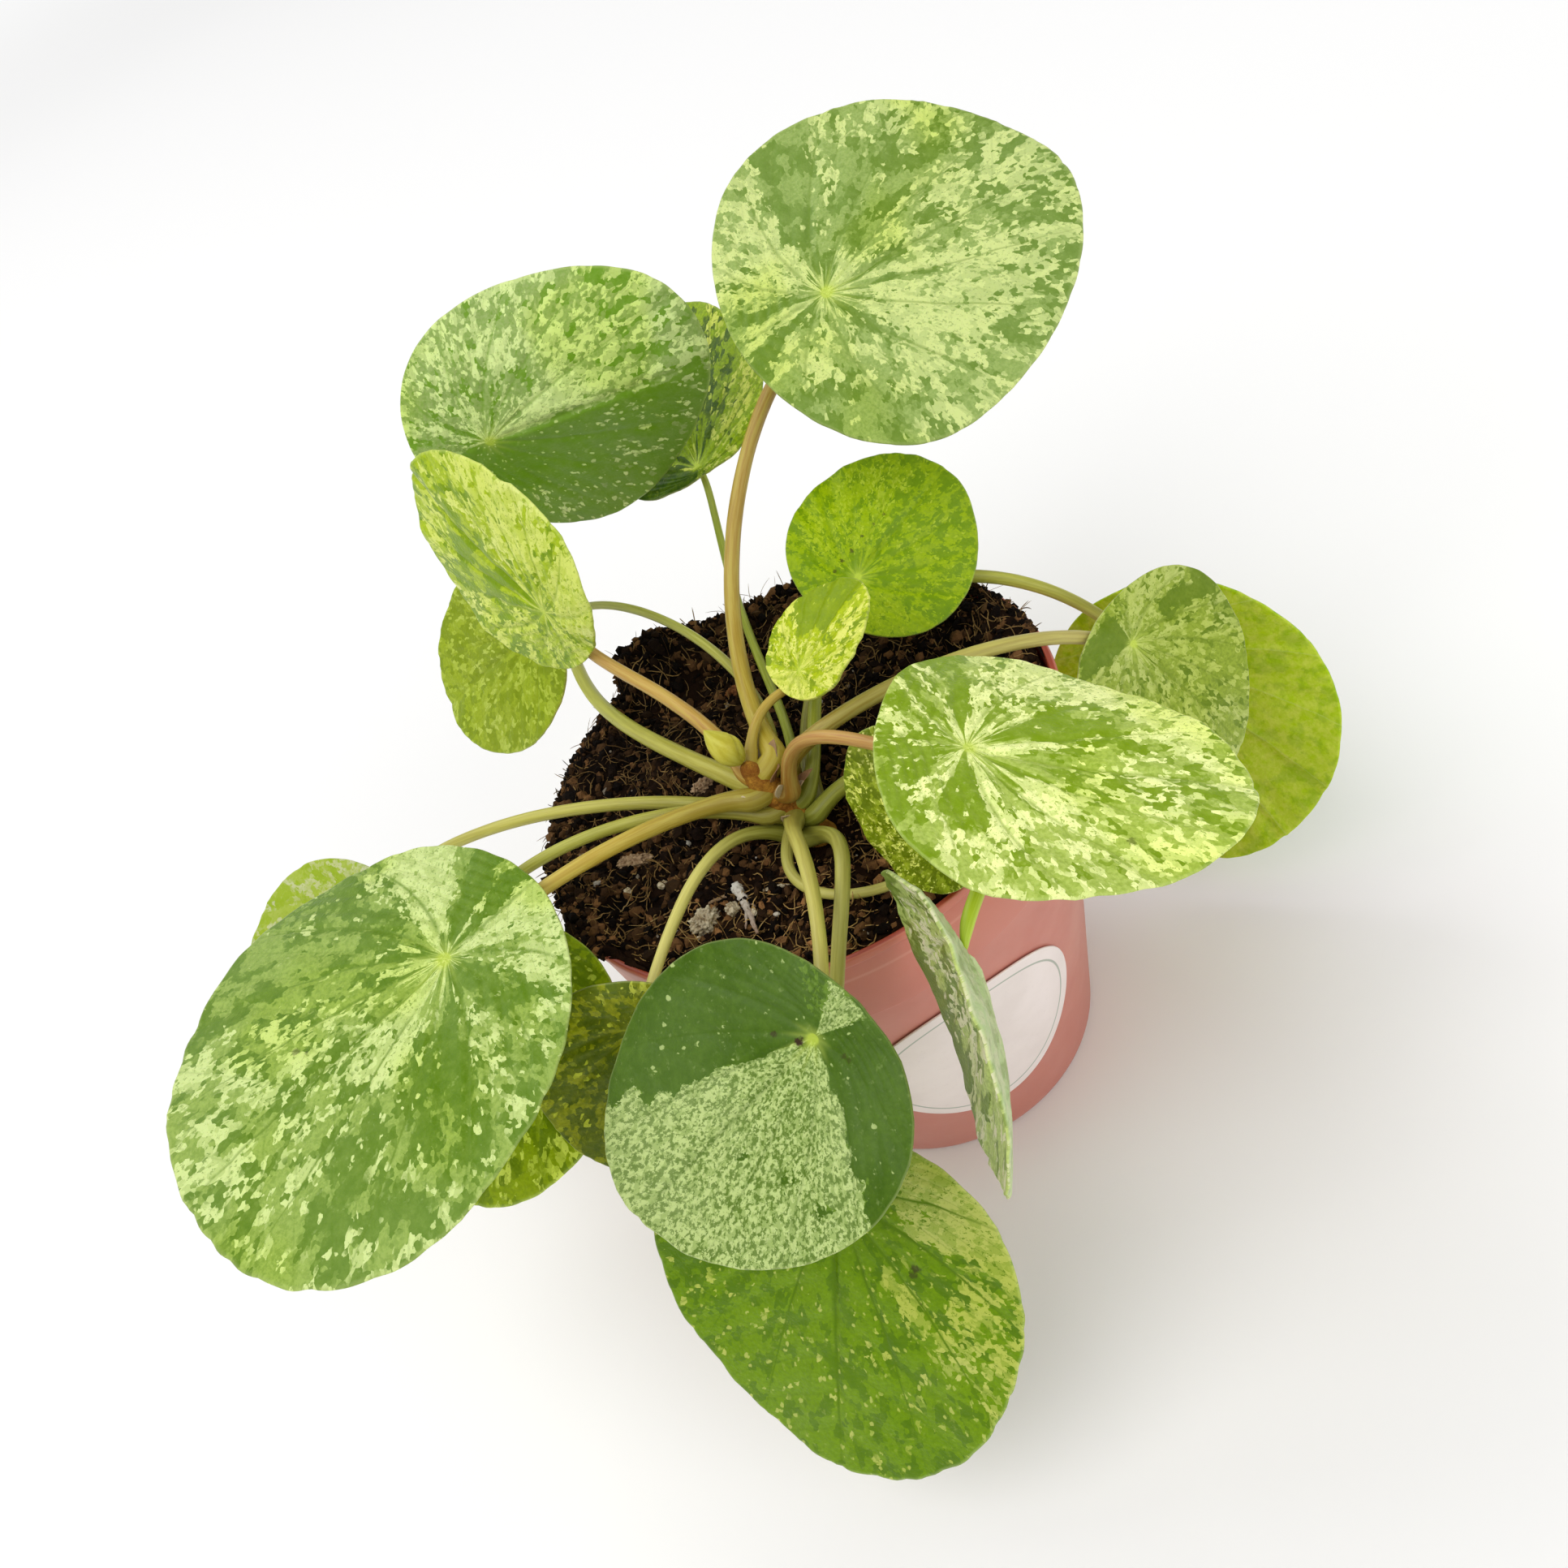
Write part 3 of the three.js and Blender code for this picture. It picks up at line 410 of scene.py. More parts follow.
class Paint:
    """Builds the nodes of one material. Each method adds a node and returns its output socket. A hex code stands for
    its colour."""

    def __init__(self, name):
        self.material = bpy.data.materials.new(name)
        self.material.use_nodes = True
        self.tree = self.material.node_tree

    def put(self, sockets, values):
        """Each value, or a link from it, goes to the socket of its name or number."""
        for key, value in values.items():
            if isinstance(value, bpy.types.NodeSocket):
                self.tree.links.new(value, sockets[key])
            else:
                sockets[key].default_value = colour(value) if isinstance(value, str) else value

    def finish(self, **values):
        """The material, with these values on its shader's own sockets, with _ for a space in their names."""
        self.put(self.tree.nodes["Principled BSDF"].inputs, {k.replace("_", " "): v for k, v in values.items()})
        return self.material

    def add(self, kind, output, inputs, **settings):
        """A new node: its kind, the output that is returned, what goes into its inputs, and its settings."""
        node = self.tree.nodes.new("ShaderNode" + kind)
        for key, value in settings.items():
            setattr(node, key, value)
        self.put(node.inputs, inputs)
        return node.outputs[output]

    def attribute(self, name, output="Vector"):
        return self.add("Attribute", output, {}, attribute_name=name)

    def place(self):
        return self.add("TexCoord", "Object", {})

    def parts(self, vector):
        return tuple(self.add("SeparateXYZ", 0, {0: vector}).node.outputs)

    def stretch(self, vector, scale):
        return self.add("Mapping", 0, {"Vector": vector, "Scale": scale})

    def math(self, how, *values):
        return self.add("Math", 0, dict(enumerate(values)), operation=how)

    def plus(self, first, second):
        return self.math("ADD", first, second)

    def times(self, first, second):
        return self.math("MULTIPLY", first, second)

    def distance(self, x, y):
        return self.math("SQRT", self.plus(self.times(x, x), self.times(y, y)))

    def noise(self, vector, scale, detail, roughness, distortion=0.0):
        return self.add("TexNoise", "Fac", {"Vector": vector, "Scale": scale, "Detail": detail,
                                            "Roughness": roughness, "Distortion": distortion})

    def cells(self, vector, scale, output="Distance"):
        """Random cells: how far off the middle of its own cell a point is, or the Position of that middle."""
        return self.add("TexVoronoi", output, {"Vector": vector, "Scale": scale})

    def nudge(self, vector, scale, amount):
        """The vector, moved about by a noise of the given scale."""
        by = self.add("TexNoise", "Color", {"Vector": vector, "Scale": scale})
        return self.add("VectorMath", 0, {0: by, 1: (amount,) * 3, 2: vector}, operation="MULTIPLY_ADD")

    def step(self, value, low, high, to_low=0.0, to_high=1.0):
        """value from low to high, smoothly onto to_low to to_high, and held there outside."""
        return self.add("MapRange", 0, dict(enumerate((value, low, high, to_low, to_high))),
                        interpolation_type="SMOOTHSTEP")

    def mix(self, share, first, second, how="MIX"):
        return self.add("Mix", 2, {0: share, 6: first, 7: second}, data_type="RGBA", blend_type=how)

    def coat(self, under, over, *ramp):
        """A colour laid over another by the step that these numbers give."""
        return self.mix(self.step(*ramp), under, over)

    def bump(self, height, distance, strength):
        return self.add("Bump", 0, {"Strength": strength, "Distance": distance, "Height": height})


def blade_material(name, look):
    """Waxy leaf: cream marbling over two greens, streaked near the seat and blotched farther out, with darker veins,
    a pale seat, a pale rim line and a paler underside. The colours stand in small jagged cells, so each noise is read
    at the middle of the cell that a point is in."""
    p = Paint("leaf_" + name)
    cream, mid, deep, under = look["colours"].split()
    grain = look["grain"]
    flat, flow, streak = p.attribute("flat"), p.attribute("flow"), p.attribute("streak")
    more_cream, more_deep, upper = p.parts(p.attribute("marks"))
    vein, side_vein, out = p.parts(p.attribute("veins"))
    near = p.step(out, 0.08, look["streaky"], 1, 0)
    far = p.math("SUBTRACT", 1.0, near)

    def patches(blotches, streaks, contrast, more, edge):
        """1 in the patches, 0 off them: a field of blotches far out and streaks near the seat, cut at its middle."""
        field = p.plus(p.times(blotches, far), p.times(streaks, near))
        centred = p.times(p.math("SUBTRACT", field, 0.5), contrast)
        return p.step(p.plus(centred, more), -edge, edge)

    cell = p.cells(p.nudge(p.nudge(flow, 0.45, 1.6), 1.3, 0.5), 1 / look["cell"], "Position")
    streak_cell = p.cells(p.nudge(streak, 1.4, 0.14), 5.0, "Position")
    blotch = p.plus(p.times(p.noise(flow, 0.3 / grain, 2, 0.5), 0.2),
                    p.times(p.noise(cell, 1 / grain, 4, 0.72, 0.3), 0.8))
    is_cream = patches(blotch, p.noise(streak_cell, 1.0, 4, 0.65), 12.0, more_cream, 0.12)
    is_deep = patches(p.noise(cell, 0.6 / grain, 4, 0.6, 0.4),
                      p.noise(p.stretch(streak, (1.6, 1.6, 1.0)), 0.8, 3, 0.5), 10.0, more_deep, 0.25)

    fine, mottle = p.noise(flat, 1.3, 4, 0.65), p.noise(flat, 0.4, 5, 0.65)
    green = p.mix(is_deep, mid, deep)
    green = p.coat(green, mid, mottle, 0.35, 0.7, 0, 0.3)
    green = p.coat(green, deep, fine, 0.38, 0.6, 0.4, 0)
    green = p.coat(green, cream, p.noise(flat, 0.7, 3, 0.6), 0.6, 0.72, 0, 0.18)
    pale = p.coat(cream, mid, p.noise(cell, 0.85 / grain, 3, 0.6), 0.5, 0.53, 0, 0.45)
    pale = p.coat(pale, mid, fine, 0.56, 0.66, 0, 0.4)
    edge = 0.66 - 0.13 * look["pepper"]
    pale = p.coat(pale, p.mix(0.6, mid, deep), p.noise(flow, 1.25, 3, 0.75), edge, edge + 0.03, 0, 0.85)
    top = p.mix(is_cream, green, pale)
    if look["specks"]:
        few = 0.62 - 0.25 * look["specks"]
        dots = p.step(p.cells(p.nudge(flow, 1.2, 0.9), 0.5), 0.17, 0.24, 1, 0)
        dots = p.times(dots, p.step(p.noise(cell, 0.22, 2, 0.5), few, few + 0.04))
        top = p.mix(p.times(dots, 0.8), top, cream)
    # Painted sheen: a large-scale noise lays a greyish tint over the colour, standing in for a broad glossy
    # reflection.
    light_patches = p.noise(flat, 0.035, 2, 0.4)
    top = p.coat(top, p.mix(is_cream, "#86a25e", "#c4d298"), light_patches, 0.4, 0.66, 0, 0.55 * look["painted_sheen"])
    # Painted sunlight: where the same noise is low, the colour is multiplied by a yellow tint that stands in for
    # sunlit patches.
    top = p.mix(p.step(light_patches, 0.52, 0.38, 0, look["painted_sun"]), top, "#eef6a0", "MULTIPLY")

    on_vein = p.step(p.math("ABSOLUTE", vein), 0, p.step(out, 0, 1, 0.7, 0.4), 1, 0)
    dark_vein = p.times(on_vein, p.step(out, 0.1, 0.28, 0, look["veins"]))
    top = p.mix(p.times(dark_vein, p.step(out, 0.7, 1, 1, 0.4)), top, p.mix(0.9, mid, deep))
    top = p.mix(p.times(on_vein, p.step(out, 0.03, 0.2, 0.3, 0)), top, "#cbdc62")
    on_side = p.step(p.math("ABSOLUTE", side_vein), 0, 0.18, 1, 0)
    top = p.mix(p.times(on_side, p.step(out, 0.25, 0.5, 0, look["veins"] * 0.3)), top, deep)
    top = p.coat(top, "#c8dc4c", out, 0.008, 0.055, 0.9, 0)
    top = p.coat(top, "#ccd68c", out, 0.982, 0.998, 0, 0.22)
    for along, across, radius, darkness in look["spots"]:
        gap = p.add("VectorMath", "Value", {0: p.stretch(flat, (1, 1, 0)), 1: (along, across, 0)},
                    operation="DISTANCE")
        gap = p.plus(gap, p.times(p.math("SUBTRACT", fine, 0.5), 2.0))
        top = p.coat(top, "#3a2a18", gap, radius * 0.6, radius * 1.2, darkness, 0)

    below = p.coat(under, cream, mottle, 0.4, 0.65, 0, 0.5)
    below = p.coat(below, deep, p.noise(flat, 0.22, 4, 0.65), 0.48, 0.6, 0, 0.4)
    below = p.mix(p.times(is_cream, 0.2), below, cream)
    below = p.mix(p.times(on_vein, 0.15), below, "#cdd694")
    relief = p.plus(p.times(p.cells(flat, 1.1), 0.5), p.noise(flat, 1.7, 3, 0.6))
    return p.finish(Base_Color=p.mix(upper, below, top), Normal=p.bump(relief, 0.0002, 0.7),
                    Roughness=p.plus(p.step(mottle, 0.3, 0.7, 0.3, 0.42), p.times(is_cream, 0.05)),
                    Subsurface_Weight=0.08, Subsurface_Scale=0.0015, Subsurface_Radius=(0.6, 1.0, 0.15),
                    Specular_IOR_Level=0.14)


def stalk_material(name, codes):
    """Smooth juicy stalk: three colours blended along it, with fine lengthwise streaks."""
    p = Paint("stalk_" + name)
    along, lines = p.attribute("along", "Fac"), p.noise(p.attribute("grain"), 1.0, 4, 0.6)
    base, middle, end = codes.split()
    tint = p.coat(p.coat(base, middle, along, 0.0, 0.5), end, along, 0.5, 1.0)
    tint = p.coat(tint, "#cfce6a", lines, 0.35, 0.7, 0, 0.35)
    tint = p.coat(tint, "#7f7424", lines, 0.62, 0.3, 0, 0.25)
    return p.finish(Base_Color=tint, Roughness=p.step(lines, 0.3, 0.7, 0.32, 0.48), Normal=p.bump(lines, 0.0001, 0.5),
                    Subsurface_Weight=0.15, Subsurface_Scale=0.002, Subsurface_Radius=(0.9, 0.8, 0.2),
                    Specular_IOR_Level=0.35)


def pot_material(tint):
    """Thin moulded plastic, satin, pink terracotta, deeper where it stands near the mix. Painted shade darkens it low
    on the wall and on the inside of the rim, and thin pale lines paint highlights along the collar's steps.
    """
    p = Paint("pot_plastic")
    place = p.place()
    x, y, z = p.parts(place)
    clouds = p.noise(place, 38, 4, 0.55)
    shell = p.coat(tint, "#bd6a5c", clouds, 0.35, 0.65, 0.0, 0.35)
    # Painted shade: darker towards the bottom of the wall.
    shell = p.coat(shell, "#b9705f", z, 0.0, 0.06, 0.4, 0.0)
    shell = p.coat(shell, "#cf6f52", z, 0.078, 0.1, 0.0, 0.45)
    # Painted highlights: thin pale lines where the collar steps out.
    for height in (0.0842, 0.0985):
        off_line = p.math("ABSOLUTE", p.math("SUBTRACT", z, height))
        shell = p.coat(shell, "#e0a08c", off_line, 0.0002, 0.0006, 0.4, 0)
    # Painted shade: the inside of the rim, above the mix, is tinted dark red.
    off_wall = p.math("SUBTRACT", p.distance(x, y), p.plus(p.times(z, 0.0857), 0.0502))
    inside = p.times(p.step(off_wall, 0.0006, 0.0002), p.step(z, 0.084, 0.09))
    return p.finish(Base_Color=p.mix(inside, shell, "#a5422c"), Roughness=p.step(clouds, 0.3, 0.7, 0.36, 0.46),
                    Normal=p.bump(p.noise(place, 700, 3, 0.6), 0.00006, 0.5), Subsurface_Weight=0.2,
                    Subsurface_Scale=0.004, Subsurface_Radius=(1.0, 0.45, 0.35))


def label_material(tint):
    """Matt paper with faint fibres, and one plain thin ring near its edge."""
    p = Paint("label_paper")
    out, place = p.attribute("out", "Fac"), p.place()
    fibres = p.noise(place, 900, 5, 0.7)
    paper = p.coat(tint, "#d2c4bd", p.noise(place, 60, 3, 0.5), 0.3, 0.7, 0, 0.3)
    paper = p.coat(paper, "#c9bab2", fibres, 0.55, 0.8, 0, 0.25)
    ring = p.times(p.times(p.step(out, 0.872, 0.878), p.step(out, 0.896, 0.89)), 0.75)
    return p.finish(Base_Color=p.mix(ring, paper, "#93a08e"), Roughness=0.55, Normal=p.bump(fibres, 0.00004, 0.6))


def shade_towards_back(p, tint, place):
    """The tint, darker towards the back: painted shade of the leaves over the back of the mix."""
    return p.coat(tint, "#060302", p.parts(place)[1], -0.045, 0.01, 0, 0.5)


def mix_material(name, dark, light, scale=1.0, shaded_back=False):
    """Crumbly, rough matter: two browns in coarse and fine grains."""
    p = Paint(name)
    place = p.place()
    fine = p.noise(place, 900 * scale, 4, 0.7)
    tint = p.coat(dark, light, p.noise(place, 110 * scale, 6, 0.7), 0.35, 0.68)
    tint = p.coat(tint, light, fine, 0.58, 0.75, 0, 0.5)
    relief = p.plus(p.times(p.cells(place, 700 * scale), 0.8), fine)
    # Where asked, painted shade darkens the mix towards the back.
    return p.finish(Base_Color=shade_towards_back(p, tint, place) if shaded_back else tint, Roughness=0.95,
                    Normal=p.bump(relief, 0.0005, 0.8), Specular_IOR_Level=0.08)


def spread_material(name, codes, roughness, gain=1.0, shaded_back=False):
    """Small loose pieces: each takes a colour between two, from its own value, with fine mottling over it."""
    p = Paint(name)
    place = p.place()
    dark, light, mottle = codes.split()
    fine = p.noise(place, 1400, 4, 0.6)
    tint = p.coat(p.mix(p.attribute("own", "Fac"), dark, light), mottle, fine, 0.48, 0.7, 0, 0.6)
    # Where asked, painted shade darkens the pieces towards the back.
    return p.finish(Base_Color=shade_towards_back(p, tint, place) if shaded_back else tint, Roughness=roughness,
                    Normal=p.bump(fine, 0.0002 * gain, 0.7), Specular_IOR_Level=0.12)


# ---- leaves, stalks and stem ----


def blade_axes(blade):
    """Three directions: the way the upper face looks, along the midrib to the tip, and across it."""
    azimuth, elevation = np.radians(blade["faces"])
    normal = polar(np.cos(elevation), azimuth, np.sin(elevation))
    level = unit(np.cross(UP, normal))
    turn = np.radians(blade["tip"])
    tip = level * np.cos(turn) + np.cross(normal, level) * np.sin(turn)
    return normal, tip, np.cross(normal, tip)


def blade_outline(blade, turn):
    """The margin: an ellipse in length and width, wider at its base by egg, sheared by skew, with a third harmonic,
    moved along so that the seat is at the origin."""
    half = blade["length"] / 2
    swell = 1 + blade["lobes"][0] * np.cos(3 * turn) + blade["lobes"][1] * np.sin(3 * turn)
    along = half * swell * (np.cos(turn) + blade["skew"] * np.sin(turn)) + half - blade["seat_at"] * 2 * half
    return along, half * blade["width"] * swell * np.sin(turn) * (1 - blade["egg"] * np.cos(turn))


def blade_height(blade, along, across, turn, share):
    """Height over the blade's plane: arch times u² + cup times v² + cup2 times v|v| + twist times uv - fold times a
    rounded crease along the midrib, u and v being shares of the length, plus waves that grow towards the rim."""
    u, v = along / blade["length"], across / blade["length"]
    crease = (np.sqrt(v * v + 0.0009) - v) / 2
    waves, phase = blade["ripple"]
    rim = 0.007 * share**3 * np.cos(waves * turn + phase)
    return blade["length"] * (blade["arch"] * u * u + blade["cup"] * v * v + blade["cup2"] * v * np.abs(v)
                              + blade["twist"] * u * v - blade["fold"] * crease + rim)


def vein_fields(angle, share, reach):
    """Two smooth fields that are zero on the veins. The main veins leave the seat at fixed angles and bend towards
    the tip: the angle grows by a share of its sine, and a sine wave over vein numbers is zero at each. The side veins
    are even steps of distance along the tip, drawn back with distance from the midrib."""
    bent = angle + 0.42 * share * np.sin(angle)
    at = np.radians([-180, -146, -112, -79, -50, -24, 0, 24, 50, 79, 112, 146, 180])
    number = np.interp(bent, at, np.arange(len(at)))
    main = np.sin(np.pi * number) * share * reach * 0.15 * (1 - 0.4 * hill(bent, 0.16))
    return main, np.sin(TURN * (3.6 * share * np.cos(angle) - 2.6 * np.abs(share * np.sin(angle))))


def sector_weight(angle, share, middle, half_width, start, stop):
    """1 inside a sector of the blade and 0 outside it, with soft edges."""
    away = np.abs((angle - np.radians(middle) + np.pi) % TURN - np.pi)
    width, soft = np.radians(half_width), 0.05
    across = smooth(width + soft, width - soft, away) if width > soft else smooth(width * 1.5, 0, away)
    return across * smooth(start - 0.06, start + 0.06, share) * smooth(stop + 0.06, stop - 0.06, share)


def grow_blade(name, seed, settings):
    """One leaf blade as a closed sheet. Two parameters: turn round the seat, and a run that goes out over the upper
    face, round the rounded rim and back over the lower face. A point is the seat plus the outline times its share,
    plus the height along the blade's normal, plus half the thickness up or down."""
    blade, look = BLADES[name], {**LOOK_DEFAULTS, **LOOKS[name]}
    spokes = int(np.clip(round(blade["length"] * settings.fineness / 8) * 8, 96, 208))
    out_rows = np.linspace(0.02, 0.985, int(spokes * 0.25)) ** 0.9
    share, lift = sheet_run(out_rows, out_rows[::-2], 0.985, np.linspace(0.12, 0.88, 6) * np.pi)
    turn, share = np.meshgrid(turns(spokes), share)
    lift = np.broadcast_to(lift[:, None], share.shape)

    ring = polar(3, turn, seed * 0.37)
    scallop = look["scallop"] * np.abs(np.sin(14 * turn + 3 * fractal(ring * 0.7, seed)))
    nibble = 1 + (0.006 * fractal(ring, seed, 3, 0.6) + scallop) * smooth(0.5, 1, share)
    outline = blade_outline(blade, turn)
    along, across = (side * share * nibble for side in outline)
    angle = np.arctan2(across, along)
    main, side = vein_fields(angle, share, np.hypot(*outline))

    fade = smooth(0.0, 0.12, share) * smooth(1.0, 0.72, share)
    groove = hill(main, 0.8) * (1 - 0.5 * share) * smooth(0.01, 0.1, share) * (1 + 1.4 * hill(angle, 0.3))
    quilt = (np.abs(side) - 0.5) * smooth(0.15, 0.4, share) * smooth(1.0, 0.85, share)
    cloud = fractal(np.stack([along, across, np.full_like(along, seed)], -1) / 9, seed + 20, 3)
    relief = -0.42 * groove + 0.3 * quilt * blade["length"] / 60 + 0.6 * cloud * fade - 0.5 * hill(share, 0.05)
    flutter = fractal(ring * 1.7, seed + 40, 3, 0.55) * smooth(0.55, 1, share) * settings.flutter
    rib = np.where(lift < 0, -0.45 * groove * (1 - share), 0)
    height = (blade_height(blade, along, across, turn, share) + relief + flutter + rib
              + lift * settings.thickness / 2)[..., None]
    normal, tip, aside = blade_axes(blade)
    points = blade["seat"] + along[..., None] * tip + across[..., None] * aside + height * normal

    cream, deep = look["cream"], look["deep"]
    ragged = fractal(polar(2.5, angle, share * 7 + seed), seed + 60, 4, 0.65)
    for *sector, more_cream, more_deep in look["sectors"]:
        weight = sector_weight(angle + 0.16 * ragged, share + 0.05 * ragged, *sector)
        cream, deep = cream + weight * more_cream, deep + weight * more_deep
    upper = smooth(-0.7, 0.1, lift)
    values = {
        "flat": np.stack([along, across, np.full_like(along, seed * 13.0)], -1),
        "flow": polar(np.hypot(along, across) ** 0.68 * (0.55 * blade["length"]) ** 0.32, angle, seed * 13.0),
        "streak": polar(3.4, angle, share * 2.2 + seed * 5.0),
        "marks": np.stack(np.broadcast_arrays(cream, deep, upper), -1),
        "veins": np.stack([main, side, share], -1),
    }
    slot = next((s for s in ("leaf_cream", "leaf_lime") if name in SLOTS[s]), "leaf_green")
    dress(closed_skin("blade_" + name, points, values, blade_material(name, look)), slot, "leaf_" + name)


def stem_axis(z):
    """The point of the stem's leaning middle line at this height."""
    return STEM_FOOT + (STEM_HEAD - STEM_FOOT) * (z - STEM_FOOT[2]) / (STEM_HEAD[2] - STEM_FOOT[2])


def stalk_curve(stalk, blade):
    """Control points of a stalk: it starts on the stem's side, at the distance that clears it for the way the stalk
    leans, passes near its three points, and ends under its blade's seat."""
    azimuth, z, shift = stalk["leaves"]
    outward, axis = polar(1, np.radians(azimuth)), stem_axis(z)
    base = axis + outward * (STEM_RADIUS + stalk["radius"])
    for _ in range(3):
        lean = np.sqrt(1 - float(unit(stalk["via"][0] - base) @ outward) ** 2)
        base = axis + outward * (STEM_RADIUS + 0.3 + shift + 1.35 * stalk["radius"] * lean)
    sunk = 0.015 * blade["fold"] * blade["length"] + 0.95
    return [base, *stalk["via"], blade["seat"] - blade_axes(blade)[0] * sunk]


def grow_stalk(name, seed, settings):
    """One leaf stalk: a circle carried along a Bezier curve, thickest at the stem, tapering along its way, wavering
    a little, and rounded off just inside its blade."""
    stalk, blade, rows = STALKS[name], BLADES[name], 84
    curve = bezier(stalk_curve(stalk, blade), np.linspace(0, 1, 400))
    bend = curve[0] - 2.2 * unit(curve[1] - curve[0])
    root = bezier([stem_axis(stalk["leaves"][1] - 1.0), bend, curve[0]], np.linspace(0, 0.98, 40))
    path, run = evenly(np.vstack([root, curve]), rows)
    rooted = way_along(root)[-1]
    share = np.clip((np.linspace(0, run, rows) - rooted) / (run - rooted), 0, 1)
    close = smooth(1 + 0.5 / run, 1 - 1.2 / run, share)
    radius = stalk["radius"] * (1 - 0.22 * share + 0.4 * np.exp(-share / 0.06)) * (0.55 + 0.45 * close)
    turn, along = np.meshgrid(turns(settings.sides), share)
    waver = 1 + 0.05 * fractal(polar(1, turn, along * run / 9 + seed), seed, 3)
    rings = tube_rings(path, radius[:, None] * waver, settings.sides, blade_axes(blade)[0])
    values = {"along": along, "grain": polar(2.5, turn, along * run / 14 + seed * 3)}
    piece = closed_skin("petiole_" + name, rings, values, stalk_material(name, stalk["colours"]))
    dress(piece, "stalk_bronze" if name in SLOTS["stalk_bronze"] else "stalk_green", "stalk_" + name)


def grow_stem():
    """The stem: circles round a leaning line, swollen at each old leaf scar, with bark noise, closed at its top."""
    t, s = np.meshgrid(turns(56), np.linspace(0, 1, 90))
    z = s * (STEM_HEAD - STEM_FOOT)[2]
    bark = fractal(polar(2.2, t, z / 1.6), 11, 4, 0.6)
    scars = np.abs(np.sin(np.pi * (z / 4.7 + 0.12 * np.sin(t * 2 + z))))
    radius = STEM_RADIUS * (1 - 0.22 * s) - 0.35 * scars**3 + 0.22 * bark
    radius = radius * np.where(s > 0.8, np.sqrt(np.maximum(1 - ((s - 0.8) / 0.2) ** 2 * 0.92, 0.02)), 1)
    rings = STEM_FOOT + (STEM_HEAD - STEM_FOOT) * s[..., None] + polar(radius, t)
    dress(closed_skin("stem_bark", rings, None, mix_material("stem_bark", "#86521e", "#c08c34", 2)),
          "stem_bark", "stem")


def grow_bracts(count, seed):
    """Papery scales round the stem's top: each a small pointed sheet, wide in its middle, curving off the stem."""
    rng = np.random.default_rng(seed)
    rows, columns = 9, 7
    sheets, own, half = [], [], rows * columns
    v, u = np.meshgrid(np.linspace(0, 1, rows), np.linspace(-1, 1, columns), indexing="ij")
    for k in range(count):
        outward = polar(1, rng.uniform(0, TURN))
        foot = stem_axis(rng.uniform(107, 121))
        tall, wide, lean = rng.uniform(3.2, 6.5), rng.uniform(1.1, 2.2), rng.uniform(0.35, 0.9)
        across = u * wide * np.sin(np.pi * np.clip(v * 0.93 + 0.07, 0, 1)) ** 0.8
        rise = v * tall
        off = STEM_RADIUS + 0.1 + lean * rise * v - 0.18 * across**2 / wide + 0.25 * np.sin(v * 5 + k)
        sheets += [foot + (off + lift)[..., None] * outward + across[..., None] * np.cross(UP, outward)
                   + rise[..., None] * UP for lift in (0.12, -0.12)]
        own.append(np.full(2 * half, rng.random()))
    front = grid_quads(rows, columns, False)
    edge = np.concatenate([np.arange(columns), np.arange(1, rows) * columns + columns - 1,
                           (rows - 1) * columns + np.arange(columns - 2, -1, -1),
                           np.arange(rows - 2, 0, -1) * columns])
    follow = np.roll(edge, -1)
    border = np.stack([edge, edge + half, follow + half, follow], -1)
    faces = for_each(np.vstack([front, front[:, ::-1] + half, border]), count, 2 * half)
    dress(new_mesh("stem_bracts", np.reshape(sheets, (-1, 3)), [faces], {"own": np.concatenate(own)},
                   spread_material("bract_paper", PAPERY, 0.7)), "stem_bark")


def grow_bud():
    """The youngest leaf, still rolled up: circles along a short bent path, widest in the middle, with a spiral
    seam."""
    rows, sides = 44, 36
    middle = (BUD_BASE + BUD_TIP) / 2 + np.array([-0.8, 0.4, 0.6])
    path, _ = evenly(bezier([BUD_BASE, middle, BUD_TIP], np.linspace(0, 1, 200)), rows)
    t, s = np.meshgrid(turns(sides), np.linspace(0, 1, rows))
    radius = BUD_RADIUS * (0.28 + 0.72 * np.sin(np.pi * s**0.8)) * np.sqrt(np.maximum(1 - s**6, 0.01))
    radius = radius * (1 - 0.16 * hill((t - 3.2 * s) % TURN, 0.25) - 0.03 * np.cos(5 * t))
    dress(closed_skin("rolled_leaf", tube_rings(path, radius, sides), {"along": s, "grain": polar(2, t, s * 3)},
                      stalk_material("bud", BUD_GREENS)), "stalk_green", "bud")


# ---- pot and label ----


def wall_radius(z):
    """Radius of the tapered wall's outside at this height."""
    return POT["base"] + WALL_SLOPE * z


